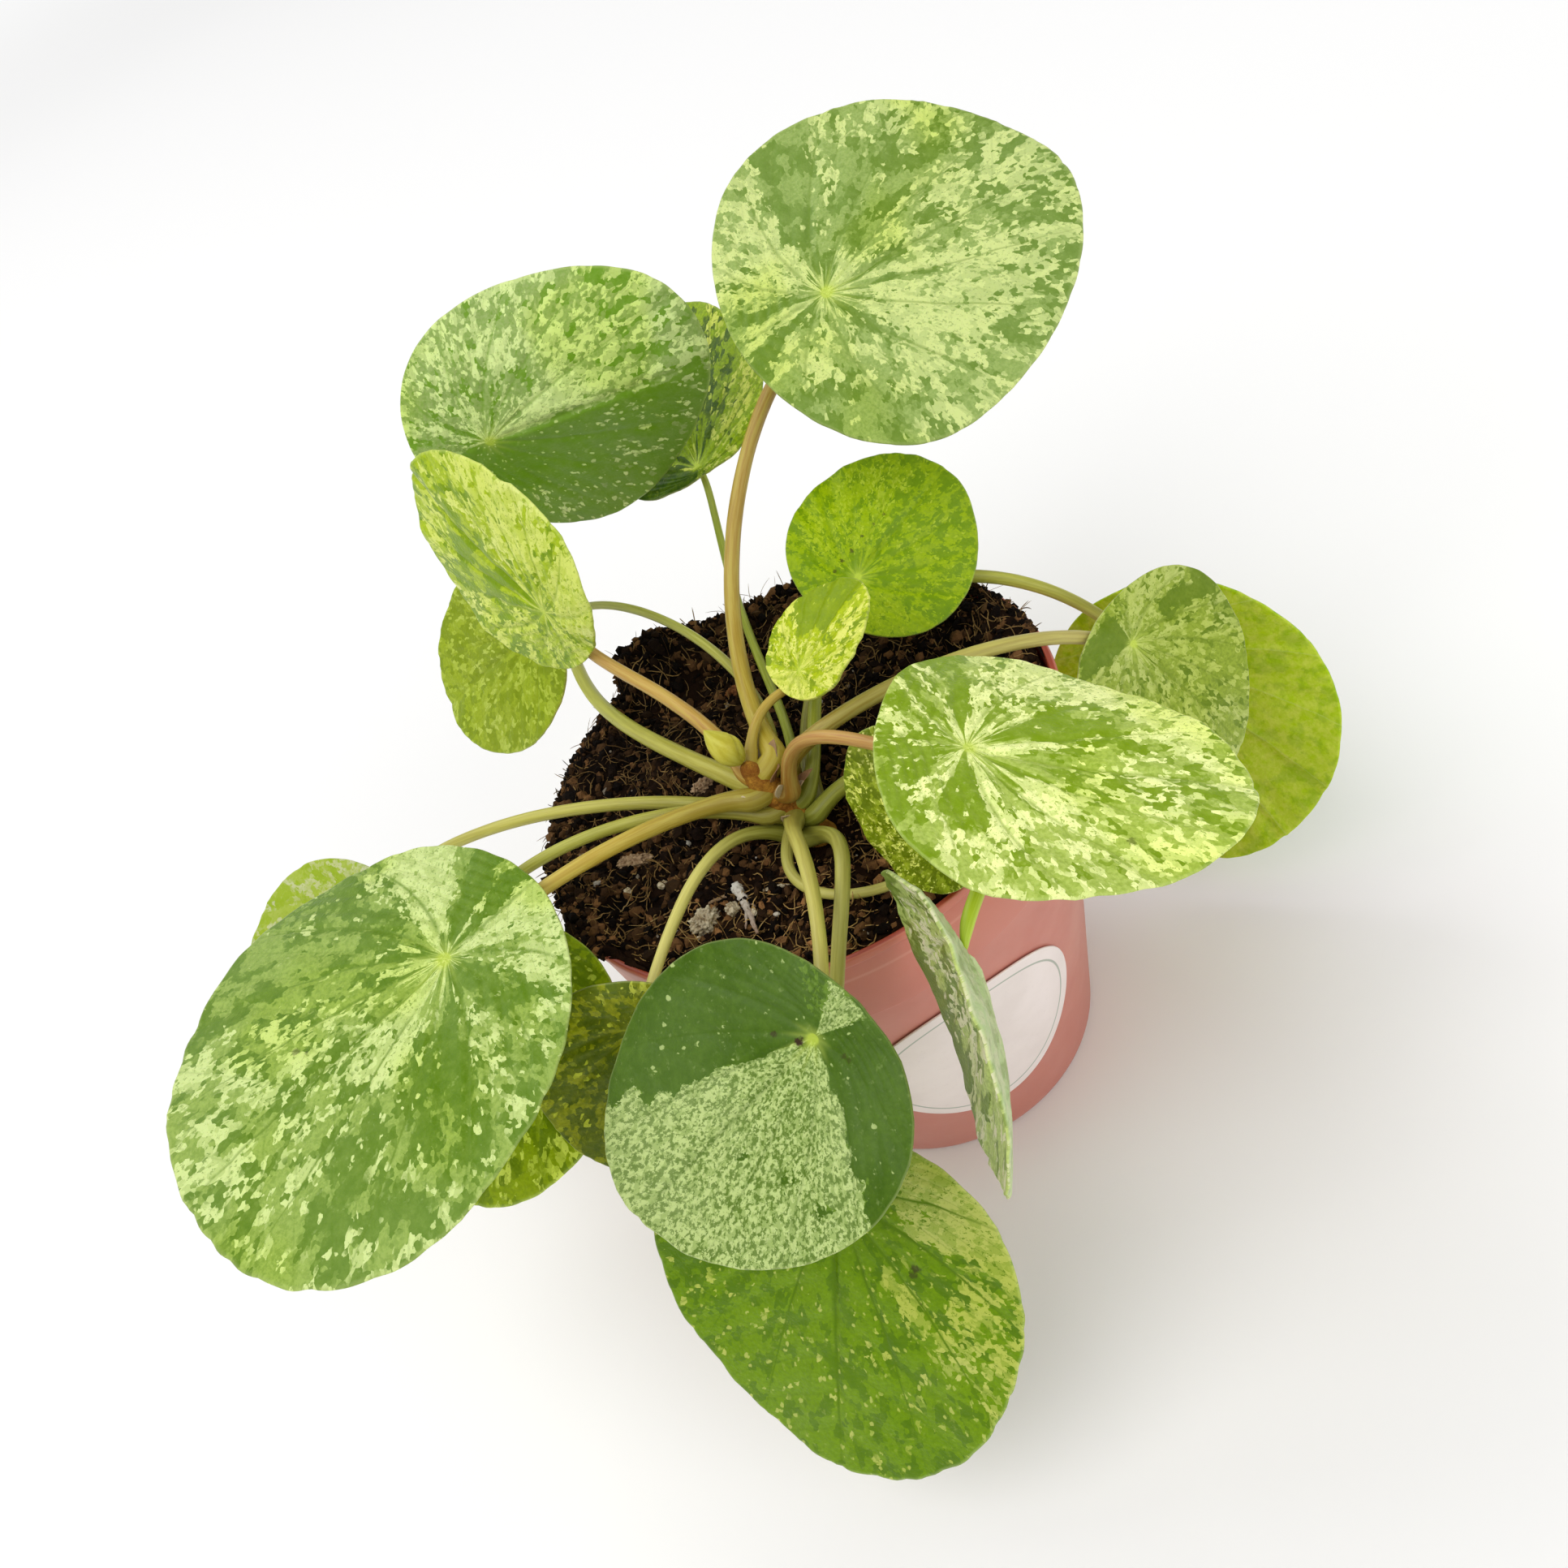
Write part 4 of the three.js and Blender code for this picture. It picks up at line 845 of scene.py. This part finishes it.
def pot_profile():
    """Outline of the wall from the underside, up the outside, over the rim and down the inside: corners as radius,
    height and rounding, each rounded by a short curve."""
    w, top, base, rim, collar_z = POT["wall"], POT["height"], POT["base"], POT["rim"], POT["collar_z"]
    corners = [
        (0, 0, 0), (38.2, 0, 0.4), (base - 0.2, 0.5, 0.7), (wall_radius(1.6), 1.8, 0.7),
        (POT["body"], collar_z, 0.35), (POT["collar"], collar_z + 0.6, 0.4), (rim - 0.5, top - 2.4, 0.4),
        (rim, top - 1.8, 0.3), (rim, top - 0.4, 0.5), (rim - 0.5, top, 0.4), (rim - w - 0.4, top, 0.4),
        (rim - w - 0.7, top - 0.7, 0.4), (POT["collar"] - w, collar_z + 1.6, 0.6),
        (POT["body"] - w, collar_z - 0.4, 0.6), (wall_radius(3.4) - w, 3.4, 1.2),
        (base - w - 1.3, POT["floor"], 0.6), (0, POT["floor"], 0),
    ]
    points, s = [], np.linspace(0, 1, 5)[:, None]
    for before, (*corner, rounding), after in zip(corners, corners[1:], corners[2:]):
        sides = [np.subtract(other[:2], corner) for other in (before, after)]
        back, ahead = (v / np.linalg.norm(v) * min(rounding, 0.45 * np.linalg.norm(v)) for v in sides)
        points.extend(corner + back * (1 - s) ** 2 + ahead * s**2)
    return np.array(points)


def mould_pot(settings):
    """The pot: its rounded profile carried round the axis, with drain holes cut through the floor."""
    profile = pot_profile()
    run = way_along(profile)
    at = np.unique(np.concatenate([run, np.linspace(0, run[-1], 90)]).round(4))
    radius, z = (np.interp(at, run, profile[:, k])[:, None] for k in range(2))
    pot = closed_skin("pot_wall", polar(radius, turns(settings.sides), z), None, pot_material(tuple(settings.tint)))
    for k in range(POT["holes"]):
        middle = polar(POT["hole_circle"], np.radians(k * 360 / POT["holes"] + POT["first_hole"]))
        cutter = closed_skin(f"drain_{k}", polar(POT["hole"], turns(40), np.array([[-2.0], [4.0]])) + middle)
        cut = pot.modifiers.new("drain", "BOOLEAN")
        cut.operation, cut.solver, cut.object = "DIFFERENCE", "EXACT", cutter
        with bpy.context.temp_override(object=pot, active_object=pot, selected_objects=[pot]):
            bpy.ops.object.modifier_apply(modifier=cut.name)
        bpy.data.objects.remove(cutter)
    dress(pot, "pot_plastic", "pot")


def stick_label(settings):
    """The round label: a disc wrapped on the tapered wall. Its share across sets the angle round the pot, its share
    up sets the height, and it has two faces with a rounded edge between them."""
    tilt, rows = np.arctan(WALL_SLOPE), np.linspace(0.03, 0.99, 30)
    share, lift = sheet_run(rows, rows[::-1], 0.99, np.linspace(0.1, 0.9, 6) * np.pi)
    turn, s = np.meshgrid(turns(160), share)
    depth = LABEL["off_wall"] + LABEL["half_thick"] * np.broadcast_to(lift[:, None], s.shape)
    across, up = LABEL["radius"] * s * np.cos(turn), LABEL["radius"] * s * np.sin(turn)
    z = LABEL["z"] + up * np.cos(tilt) - depth * np.sin(tilt)
    wall = wall_radius(LABEL["z"] + up * np.cos(tilt)) + depth * np.cos(tilt)
    angle = np.radians(LABEL["azimuth"]) + across / wall_radius(LABEL["z"])
    dress(closed_skin("label_disc", polar(wall, angle, z), {"out": s}, label_material(tuple(settings.label_tint))),
          "label_paper", "sticker")


# ---- potting mix ----


def from_front(azimuth):
    """The azimuth in degrees, counted from the front."""
    return (np.degrees(azimuth) + 90) % 360


def heap_share(azimuth):
    """How far the mix is heaped over the rim at this azimuth: 1 at the back and left, 0 at the front and right."""
    degrees = from_front(azimuth)
    lip = 0.14 * smooth(76, 92, degrees) * smooth(146, 134, degrees)
    return smooth(134, 158, degrees) * smooth(308, 280, degrees) + lip


def clod_share(azimuth):
    """How high a clod of mix stands over the rim: 1 at its top, down to 0 slowly to the right, fast to the left."""
    degrees = np.degrees(azimuth) % 360
    return smooth(86, 108, degrees) * smooth(120, 114, degrees)


def heaped(x, y):
    """Extra height of the mix towards the rim, where it is heaped."""
    azimuth, far = np.arctan2(y, x), np.hypot(x, y)
    degrees = from_front(azimuth)
    rise = 1.3 + 1.4 * heap_share(azimuth) + 1.2 * smooth(60, 95, degrees) * smooth(170, 140, degrees)
    return smooth(43, 56, far) * rise + smooth(42, 56, far) * clod_share(azimuth) * 8.0


def mix_top(x, y, settings):
    """Height of the potting mix at x, y: long waves, a dip at the stem, and crumbs from fractal noise."""
    waves = (0.8 * np.sin(x / 9 + 1) * np.cos(y / 7) + 0.45 * np.sin((x + y) / 4.3)
             + 0.35 * np.cos((x - 1.7 * y) / 5.1))
    away = np.hypot(x - STEM_FOOT[0], y - STEM_FOOT[1])
    at = np.stack([x, y, np.zeros_like(x)], -1)
    crumbs = 1.3 * fractal(at / 5.5, 60, 5, 0.62) + 0.9 * np.abs(fractal(at / 2.2, 70, 3, 0.6))
    return (MIX["top"] + np.clip((away - 7) / 12, 0, 1) * (0.8 + waves) + heaped(x, y)
            + settings.lumps * crumbs * smooth(2, 7, away))


def fill_mix(settings):
    """The potting mix: rings up the inside of the pot, and a crumbly top whose height is worked out over the grid."""
    wall = [(38.8, 1.8), (40.0, 4.6), *((wall_radius(z) - 1.5, z) for z in (20, 45, 70, 82)), (56.7, 87), (57.0, 95),
            (57.3, 99.5)]
    count = len(wall)
    radius = np.concatenate([[r for r, _ in wall], np.linspace(MIX["reach"], 0.6, 135)])
    r, t = np.meshgrid(radius, turns(420), indexing="ij")
    rings = polar(r, t)
    rings[..., 2] = mix_top(rings[..., 0], rings[..., 1], settings)
    rings[:count, :, 2] = np.array([z for _, z in wall])[:, None]
    rings[count, :, 2] -= 0.9
    dress(closed_skin("mix_bed", rings, None, mix_material("peat", "#040201", "#2e1c10", 1, True)),
          "peat", "potting_mix")


def ridge_point(azimuth, turn):
    """A point of the mix that lies over the rim: an oval round the rim, its size changed by noise."""
    share, clod = np.maximum(heap_share(azimuth), 0.0004) ** 0.5, clod_share(azimuth)
    along = polar(58, azimuth)
    coarse = 1.5 * fractal(along / 5, 31, 4, 0.7)
    fine = 1.2 * fractal(along / 1.3 + polar(1, turn) * 1.7, 32, 3, 0.7)
    wide = (2.2 + coarse + fine + 2.6 * clod) * share
    tall = (1.0 + coarse + fine + 8.5 * clod * (np.sin(turn) > 0)) * share
    return polar(MIX["ridge"] + 0.4 * clod + wide * np.cos(turn), azimuth, MIX["ridge_z"] + tall * np.sin(turn))


def heap_ridge():
    """The mix heaped over the rim at the back and left: its oval carried along the arc where it is heaped."""
    share, turn = np.meshgrid(np.linspace(0, 1, 560), turns(30), indexing="ij")
    dress(closed_skin("mix_ridge", ridge_point(np.radians(-18 + 240 * share), turn), None,
                      mix_material("peat_ridge", "#040201", "#2e1c10", 1, True)), "peat")


def press_chips(settings):
    """Larger chips pressed into the mix: spheres squashed, cut by noise into rough faces, each in its own tint."""
    turn, tilt = np.meshgrid(turns(56), np.linspace(0.06, np.pi - 0.06, 34))
    ball = polar(np.sin(tilt), turn, np.cos(tilt))
    for number, (x, y, length, width, height, heading, codes) in enumerate(CHIPS):
        size, name = np.array([length, width, height]) / 2, f"chip_{number}"
        dents = fractal(ball * size * 1.5 + number * 5, 80 + number, 4, 0.75)
        c, n = np.cos(np.radians(heading)), np.sin(np.radians(heading))
        shape = ball * (1 + 0.75 * dents)[..., None] * size @ np.array([[c, n, 0], [-n, c, 0], [0, 0, 1]])
        middle = np.array([x, y, mix_top(np.array(x), np.array(y), settings) + 0.25 * height])
        dress(closed_skin(name, shape + middle, {"own": smooth(-0.5, 0.5, dents)},
                          spread_material(name, codes, 0.9, 3)), "peat")


def lay_twig(settings):
    """The pale forked splinter: tapered tubes of uneven width along bent paths that part from one knot."""
    rows, sides = 90, 22
    turn, share = np.meshgrid(turns(sides), np.linspace(0, 1, rows))
    for number, (thick, path) in enumerate(TWIGS):
        rise = mix_top(*bezier(path, np.linspace(0, 1, 5)).T, settings).max() + 0.5 - 0.3 * number
        knots = fractal(polar(1, turn, share * 9 + number) * 1.4, 90 + number, 4, 0.7)
        radius = thick * (1 - 0.75 * share) * (1 + 0.9 * knots)
        line = np.column_stack([bezier(path, share[:, 0]), np.full(rows, rise)])
        name = f"twig_{number}"
        dress(closed_skin(name, tube_rings(line, radius, sides), {"own": 1 - 0.9 * share},
                          spread_material(name, PALE_WOOD, 0.8, 2)), "peat")


def turned(rng, count):
    """Random turns, as 3x3 arrays, from the QR split of random matrices."""
    q, _ = np.linalg.qr(rng.normal(size=(count, 3, 3)))
    return q * np.sign(np.linalg.det(q))[:, None, None]


def lump(rng, count, rough):
    """Shapes of small lumps: the 12 corners of an icosahedron, each moved in or out at random."""
    g = (1 + 5**0.5) / 2
    corners = unit(np.array([(-1, g, 0), (1, g, 0), (-1, -g, 0), (1, -g, 0), (0, -1, g), (0, 1, g), (0, -1, -g),
                             (0, 1, -g), (g, 0, -1), (g, 0, 1), (-g, 0, -1), (-g, 0, 1)], float))
    faces = np.array([(0, 11, 5), (0, 5, 1), (0, 1, 7), (0, 7, 10), (0, 10, 11), (1, 5, 9), (5, 11, 4), (11, 10, 2),
                      (10, 7, 6), (7, 1, 8), (3, 9, 4), (3, 4, 2), (3, 2, 6), (3, 6, 8), (3, 8, 9), (4, 9, 5),
                      (2, 4, 11), (6, 2, 10), (8, 6, 7), (9, 8, 1)])
    return corners[None] * (1 + rough * rng.uniform(-1, 1, (count, 12, 1))), faces


def on_mix(rng, count, settings, reach=56.0, clear=5.0):
    """Random places on the potting mix, even over its area, clear of the stem."""
    radius = reach * np.sqrt(rng.random(count * 2))
    at = polar(radius, rng.random(count * 2) * TURN)
    at = at[np.hypot(*(at - STEM_FOOT).T[:2]) > clear][:count]
    at[:, 2] = mix_top(at[:, 0], at[:, 1], settings)
    return at


def on_ridge(rng, count):
    """Random places on the upper side of the mix that lies over the rim, with the way that faces off it there."""
    azimuth = np.radians(rng.uniform(-4, 204, count))
    turn = rng.uniform(-0.25, np.pi * 1.05, count)
    return ridge_point(azimuth, turn), polar(np.cos(turn), azimuth, np.sin(turn))


def strew_lumps(name, places, sizes, squash, codes, rng, sink=0.35):
    """Loose lumps at these places: distorted icosahedra, squashed and turned at random, each sunk in by part of its
    size."""
    count = len(places)
    shape, faces = lump(rng, count, 0.35)
    size = sizes[0] + (sizes[1] - sizes[0]) * rng.random(count) ** 2.5
    stretch = np.stack([size, size * rng.uniform(squash, 1, count), size * rng.uniform(squash, 1, count)], -1)
    points = np.einsum("nij,nkj->nki", turned(rng, count), shape * stretch[:, None])
    points = points + (places + (size * (0.5 - sink) * squash)[:, None] * UP)[:, None]
    own = np.repeat(rng.random(count) ** 4, 12)
    dress(new_mesh(name, points.reshape(-1, 3), [for_each(faces, count, 12)], {"own": own},
                   spread_material(name, codes, 0.95, 2, True), True), "peat")


def tie_fibres(name, centre, thickness, codes, rng):
    """Many fibres as one mesh: each a four-sided tube of uneven thickness along its path, its ends pointed."""
    count, rows = centre.shape[:2]
    tangent = unit(np.gradient(centre, axis=1))
    side = unit(np.cross(tangent, np.array([0.1, 0.2, 1.0])))
    other = np.cross(tangent, side)
    thin = np.sqrt(np.maximum(1 - np.linspace(-1, 1, rows)[None] ** 4, 0.06))
    radius = rng.uniform(*thickness, (count, 1)) * thin
    corner = turns(4)[:, None]
    ring = centre[:, :, None] + radius[..., None, None] * (side[:, :, None] * np.cos(corner)
                                                           + other[:, :, None] * np.sin(corner))
    last = 4 * rows - 4 + np.arange(4)
    faces = for_each(np.vstack([grid_quads(rows, 4), [[3, 2, 1, 0]], [last]]), count, 4 * rows)
    dress(new_mesh(name, ring.reshape(-1, 3), [faces], {"own": np.repeat(rng.random(count), rows * 4)},
                   spread_material(name, codes, 0.8, 1, True)), "peat")


def lay_fibres(rng, count, lengths, rows, settings):
    """Paths of fibres on the mix: the heading turns by a slope and a sine along the way, and the height is a little
    over the mix, more at some of the ends."""
    start = on_mix(rng, count, settings, 57.0, 6.0)
    count = len(start)
    s = np.linspace(-0.5, 0.5, rows)[None]
    length = (lengths[0] + (lengths[1] - lengths[0]) * rng.random(count) ** 2)[:, None]
    heading = rng.random((count, 1)) * TURN
    bend = rng.normal(0, 0.8, (count, 1)) * s + 0.35 * np.sin(rng.random((count, 1)) * 6 + s * 6)
    x, y = (start[:, k:k + 1] + np.cumsum(wave(heading + bend), 1) * length / rows - wave(heading) * length / 2
            for k, wave in enumerate((np.cos, np.sin)))
    pull = np.minimum(1, 57.9 / np.maximum(np.hypot(x, y), 1e-6))
    x, y = x * pull, y * pull
    lifted = rng.choice([0, 1, 2], (count, 1)) * (1 + 2 * s * rng.choice([-1, 1], (count, 1))) ** 2 / 4
    rise = rng.uniform(-0.2, 0.9, (count, 1)) + rng.exponential(0.8, (count, 1)) * lifted
    return np.stack([x, y, mix_top(x, y, settings) + rise], -1)


def hang_fibres(rng, count, lengths, rows):
    """Paths of fibres that stick out of the ridge: from a place on it, off its surface and sideways, and drooping by
    the square of the way along."""
    start, off = on_ridge(rng, count)
    aim = unit(off + rng.normal(0, 0.8, (count, 3)))[:, None]
    s = np.linspace(0, 1, rows)[None, :, None]
    length = rng.uniform(*lengths, (count, 1, 1))
    curl = rng.normal(0, 0.35, (count, 1, 3)) * s**2
    return start[:, None] + length * (aim * s + curl - 0.35 * UP * s**2)


# ---- settings, steps and panel ----


def tint_setting(name, description, default):
    """A setting that holds a colour."""
    return FloatVectorProperty(name=name, description=description, subtype="COLOR", size=4, min=0, max=1,
                               default=default)


class PotSettings(bpy.types.PropertyGroup):
    """Sizes and colours of the pot and its label."""

    sides: IntProperty(name="Sides", description="Facets round the pot", default=240, min=48)
    tint: tint_setting("Plastic", "Colour of the plastic", colour("#cf8577"))
    label_tint: tint_setting("Label", "Colour of the paper label", colour("#f4e8e4"))


class MixSettings(bpy.types.PropertyGroup):
    """The potting mix and what lies on it."""

    lumps: FloatProperty(name="Lumps", description="Strength of the crumbly relief, in millimetres", default=1.3,
                         min=0, max=3)
    crumbs: IntProperty(name="Crumbs", description="Number of loose crumbs", default=5600, min=0)
    fibres: IntProperty(name="Fibres", description="Number of loose fibres", default=2700, min=0)


class LeafSettings(bpy.types.PropertyGroup):
    """Shape of all leaf blades."""

    thickness: FloatProperty(name="Thickness", description="Thickness of a blade, in millimetres", default=0.8,
                             min=0.3, max=1.5)
    flutter: FloatProperty(name="Flutter", description="Height of the rim's small waves, in millimetres",
                           default=0.9, min=0, max=3)
    fineness: FloatProperty(name="Fineness", description="Mesh columns for each millimetre of a blade's length",
                            default=2.6, min=1, max=4)


class StalkSettings(bpy.types.PropertyGroup):
    """Shape of the stalks and the stem."""

    sides: IntProperty(name="Sides", description="Facets round a stalk", default=24, min=8)
    bracts: IntProperty(name="Bracts", description="Number of papery scales on the stem", default=14, min=1)


class StageSettings(bpy.types.PropertyGroup):
    """The floor, the light and the camera."""

    floor: tint_setting("Floor", "Colour of the floor", (0.96, 0.96, 0.96, 1))
    sky: FloatProperty(name="Ambient", description="Strength of the even light from all round", default=0.5, min=0)
    key: FloatProperty(name="Key light", description="Power of the main soft light", subtype="POWER", unit="POWER",
                       default=48.0, min=0)
    lens: FloatProperty(name="Lens", description="Focal length of the camera", subtype="DISTANCE_CAMERA",
                        default=32.83, min=1)


class PLANT_OT_mould_pot(bpy.types.Operator):
    """Makes the pot with its drain holes"""

    bl_idname = "plant.mould_pot"
    bl_label = "Pot"

    def execute(self, context):
        mould_pot(context.scene.plant_pot)
        return {"FINISHED"}


class PLANT_OT_stick_label(bpy.types.Operator):
    """Makes the round label on the pot's wall"""

    bl_idname = "plant.stick_label"
    bl_label = "Label"

    def execute(self, context):
        stick_label(context.scene.plant_pot)
        return {"FINISHED"}


class PLANT_OT_fill_mix(bpy.types.Operator):
    """Fills the pot with potting mix"""

    bl_idname = "plant.fill_mix"
    bl_label = "Potting mix"

    def execute(self, context):
        fill_mix(context.scene.plant_mix)
        heap_ridge()
        return {"FINISHED"}


class PLANT_OT_strew_bits(bpy.types.Operator):
    """Strews crumbs, bark chips, white grains and fibres over the potting mix"""

    bl_idname = "plant.strew_bits"
    bl_label = "Crumbs and fibres"

    def execute(self, context):
        mix = context.scene.plant_mix
        rng = np.random.default_rng(5)
        strew_lumps("crumbs", on_mix(rng, mix.crumbs, mix), (0.35, 1.8), 0.5, BROWNS, rng)
        strew_lumps("bark_chips", on_mix(rng, 110, mix), (1.0, 2.8), 0.25, BARK, rng)
        strew_lumps("white_grains", on_mix(rng, 46, mix, 54), (0.3, 1.2), 0.6, GRIT, rng, 0.2)
        strew_lumps("rim_crumbs", on_ridge(rng, 1900)[0], (0.4, 1.7), 0.5, BROWNS, rng, 0.5)
        tie_fibres("coir_fibres", lay_fibres(rng, mix.fibres, (1.5, 9), 8, mix), (0.06, 0.17), COIR, rng)
        tie_fibres("fine_roots", lay_fibres(rng, 44, (9, 26), 14, mix), (0.07, 0.17), ROOT, rng)
        tie_fibres("rim_fibres", hang_fibres(rng, 420, (1.2, 5.5), 7), (0.05, 0.14), COIR, rng)
        press_chips(mix)
        lay_twig(mix)
        return {"FINISHED"}


class PLANT_OT_grow_stem(bpy.types.Operator):
    """Makes the stem, its papery bracts and the rolled young leaf at its crown"""

    bl_idname = "plant.grow_stem"
    bl_label = "Stem and crown"

    def execute(self, context):
        grow_stem()
        grow_bracts(context.scene.plant_stalks.bracts, 12)
        grow_bud()
        return {"FINISHED"}


class PLANT_OT_grow_stalks(bpy.types.Operator):
    """Makes the leaf stalks"""

    bl_idname = "plant.grow_stalks"
    bl_label = "Leaf stalks"

    def execute(self, context):
        for seed, name in enumerate(STALKS, 1):
            grow_stalk(name, seed, context.scene.plant_stalks)
        return {"FINISHED"}


class PLANT_OT_grow_blades(bpy.types.Operator):
    """Makes the leaf blades"""

    bl_idname = "plant.grow_blades"
    bl_label = "Leaf blades"

    def execute(self, context):
        for seed, name in enumerate(BLADES, 1):
            grow_blade(name, seed, context.scene.plant_leaves)
        return {"FINISHED"}


class PLANT_OT_set_stage(bpy.types.Operator):
    """Makes the pale floor, the soft studio light and the camera"""

    bl_idname = "plant.set_stage"
    bl_label = "Stage"

    def execute(self, context):
        scene, settings = context.scene, context.scene.plant_stage
        p = Paint("floor")
        x, y, _ = p.parts(p.place())
        tint = p.coat(tuple(settings.floor), (0.93, 0.93, 0.925, 1), p.noise(p.place(), 3, 2, 0.5), 0.3, 0.7, 0, 0.05)
        # Painted light: the floor glows from 2 m out to 4.4 m, so that the far floor stays as pale as the lit floor
        # near the plant.
        p.finish(Base_Color=tint, Roughness=0.9, Specular_IOR_Level=0.2, Emission_Color=(1, 1, 1, 1),
                 Emission_Strength=p.step(p.distance(x, y), 2.0, 4.4, 0, 0.32))
        corners = np.array([(-6000, -6000, -0.2), (6000, -6000, -0.2), (6000, 6000, -0.2), (-6000, 6000, -0.2)])
        floor = new_mesh("floor", corners, [np.array([[0, 1, 2, 3]])], None, p.material)

        scene.world = bpy.data.worlds.new("soft_room")
        scene.world.use_nodes = True
        sky = scene.world.node_tree.nodes["Background"].inputs
        sky["Color"].default_value, sky["Strength"].default_value = (1, 1, 1, 1), settings.sky
        for name, place, size, power, tint in (
            ("key", (-1.3, -1.0, 3.0), 3.0, settings.key, (1, 0.99, 0.97)),
            ("fill", (1.8, -3.0, 1.9), 3.4, settings.key, (0.99, 0.995, 1)),
            ("back", (-1.2, 2.0, 3.0), 2.6, settings.key * 0.75, (1, 1, 1)),
        ):
            light = bpy.data.lights.new(name, "AREA")
            light.shape, light.size, light.energy, light.color = "DISK", size, power, tint
            away = unit(np.array(place) - 0.11 * UP)
            right = unit(np.cross(UP, away))
            self.put(scene, name, light, place, (right, np.cross(away, right), away))

        camera = bpy.data.cameras.new("camera")
        camera.sensor_width, camera.lens = 36, settings.lens
        camera.clip_start, camera.clip_end = 0.01, 50
        right, up, back = (0.86320, -0.32410, -0.38709), (0.50464, 0.57622, 0.64289), (0.01468, -0.75029, 0.66095)
        scene.camera = self.put(scene, "camera", camera, (0, -0.2381, 0.30915), (right, up, back))
        scene.view_settings.view_transform = "Standard"
        return {"FINISHED"}

    @staticmethod
    def put(scene, name, what, place, axes):
        """A lamp or the camera at its place, turned so that its own axes are these."""
        thing = bpy.data.objects.new(name, what)
        scene.collection.objects.link(thing)
        thing.matrix_world = Matrix.LocRotScale(place, Matrix(np.column_stack(axes).tolist()), None)
        return thing


class PLANT_PT_panel(bpy.types.Panel):
    """Lists the steps that make the potted plant, with their settings"""

    bl_label = "Potted plant"
    bl_idname = "PLANT_PT_panel"
    bl_space_type = "VIEW_3D"
    bl_region_type = "UI"
    bl_category = "Plant"

    def draw(self, context):
        for key, kind in GROUPS.items():
            box = self.layout.box()
            for setting in kind.__annotations__:
                box.prop(getattr(context.scene, key), setting)
        for step in STEPS:
            self.layout.operator(step.bl_idname)


STEPS = (
    PLANT_OT_set_stage, PLANT_OT_mould_pot, PLANT_OT_stick_label, PLANT_OT_fill_mix, PLANT_OT_strew_bits,
    PLANT_OT_grow_stem, PLANT_OT_grow_stalks, PLANT_OT_grow_blades,
)
GROUPS = {"plant_pot": PotSettings, "plant_mix": MixSettings, "plant_leaves": LeafSettings,
          "plant_stalks": StalkSettings, "plant_stage": StageSettings}


def register():
    """Makes the settings, the steps and the panel known to Blender."""
    for kind in (*GROUPS.values(), *STEPS, PLANT_PT_panel):
        bpy.utils.register_class(kind)
    for key, kind in GROUPS.items():
        setattr(bpy.types.Scene, key, PointerProperty(type=kind))


def unregister():
    """Takes them back."""
    for key in GROUPS:
        delattr(bpy.types.Scene, key)
    for kind in reversed((*GROUPS.values(), *STEPS, PLANT_PT_panel)):
        bpy.utils.unregister_class(kind)


def main():
    """Registers the add-on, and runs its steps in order."""
    register()
    for step in STEPS:
        family, action = step.bl_idname.split(".")
        if getattr(getattr(bpy.ops, family), action)() != {"FINISHED"}:
            raise RuntimeError(f"{step.bl_idname} did not finish")
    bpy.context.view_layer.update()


if __name__ == "__main__":
    main()
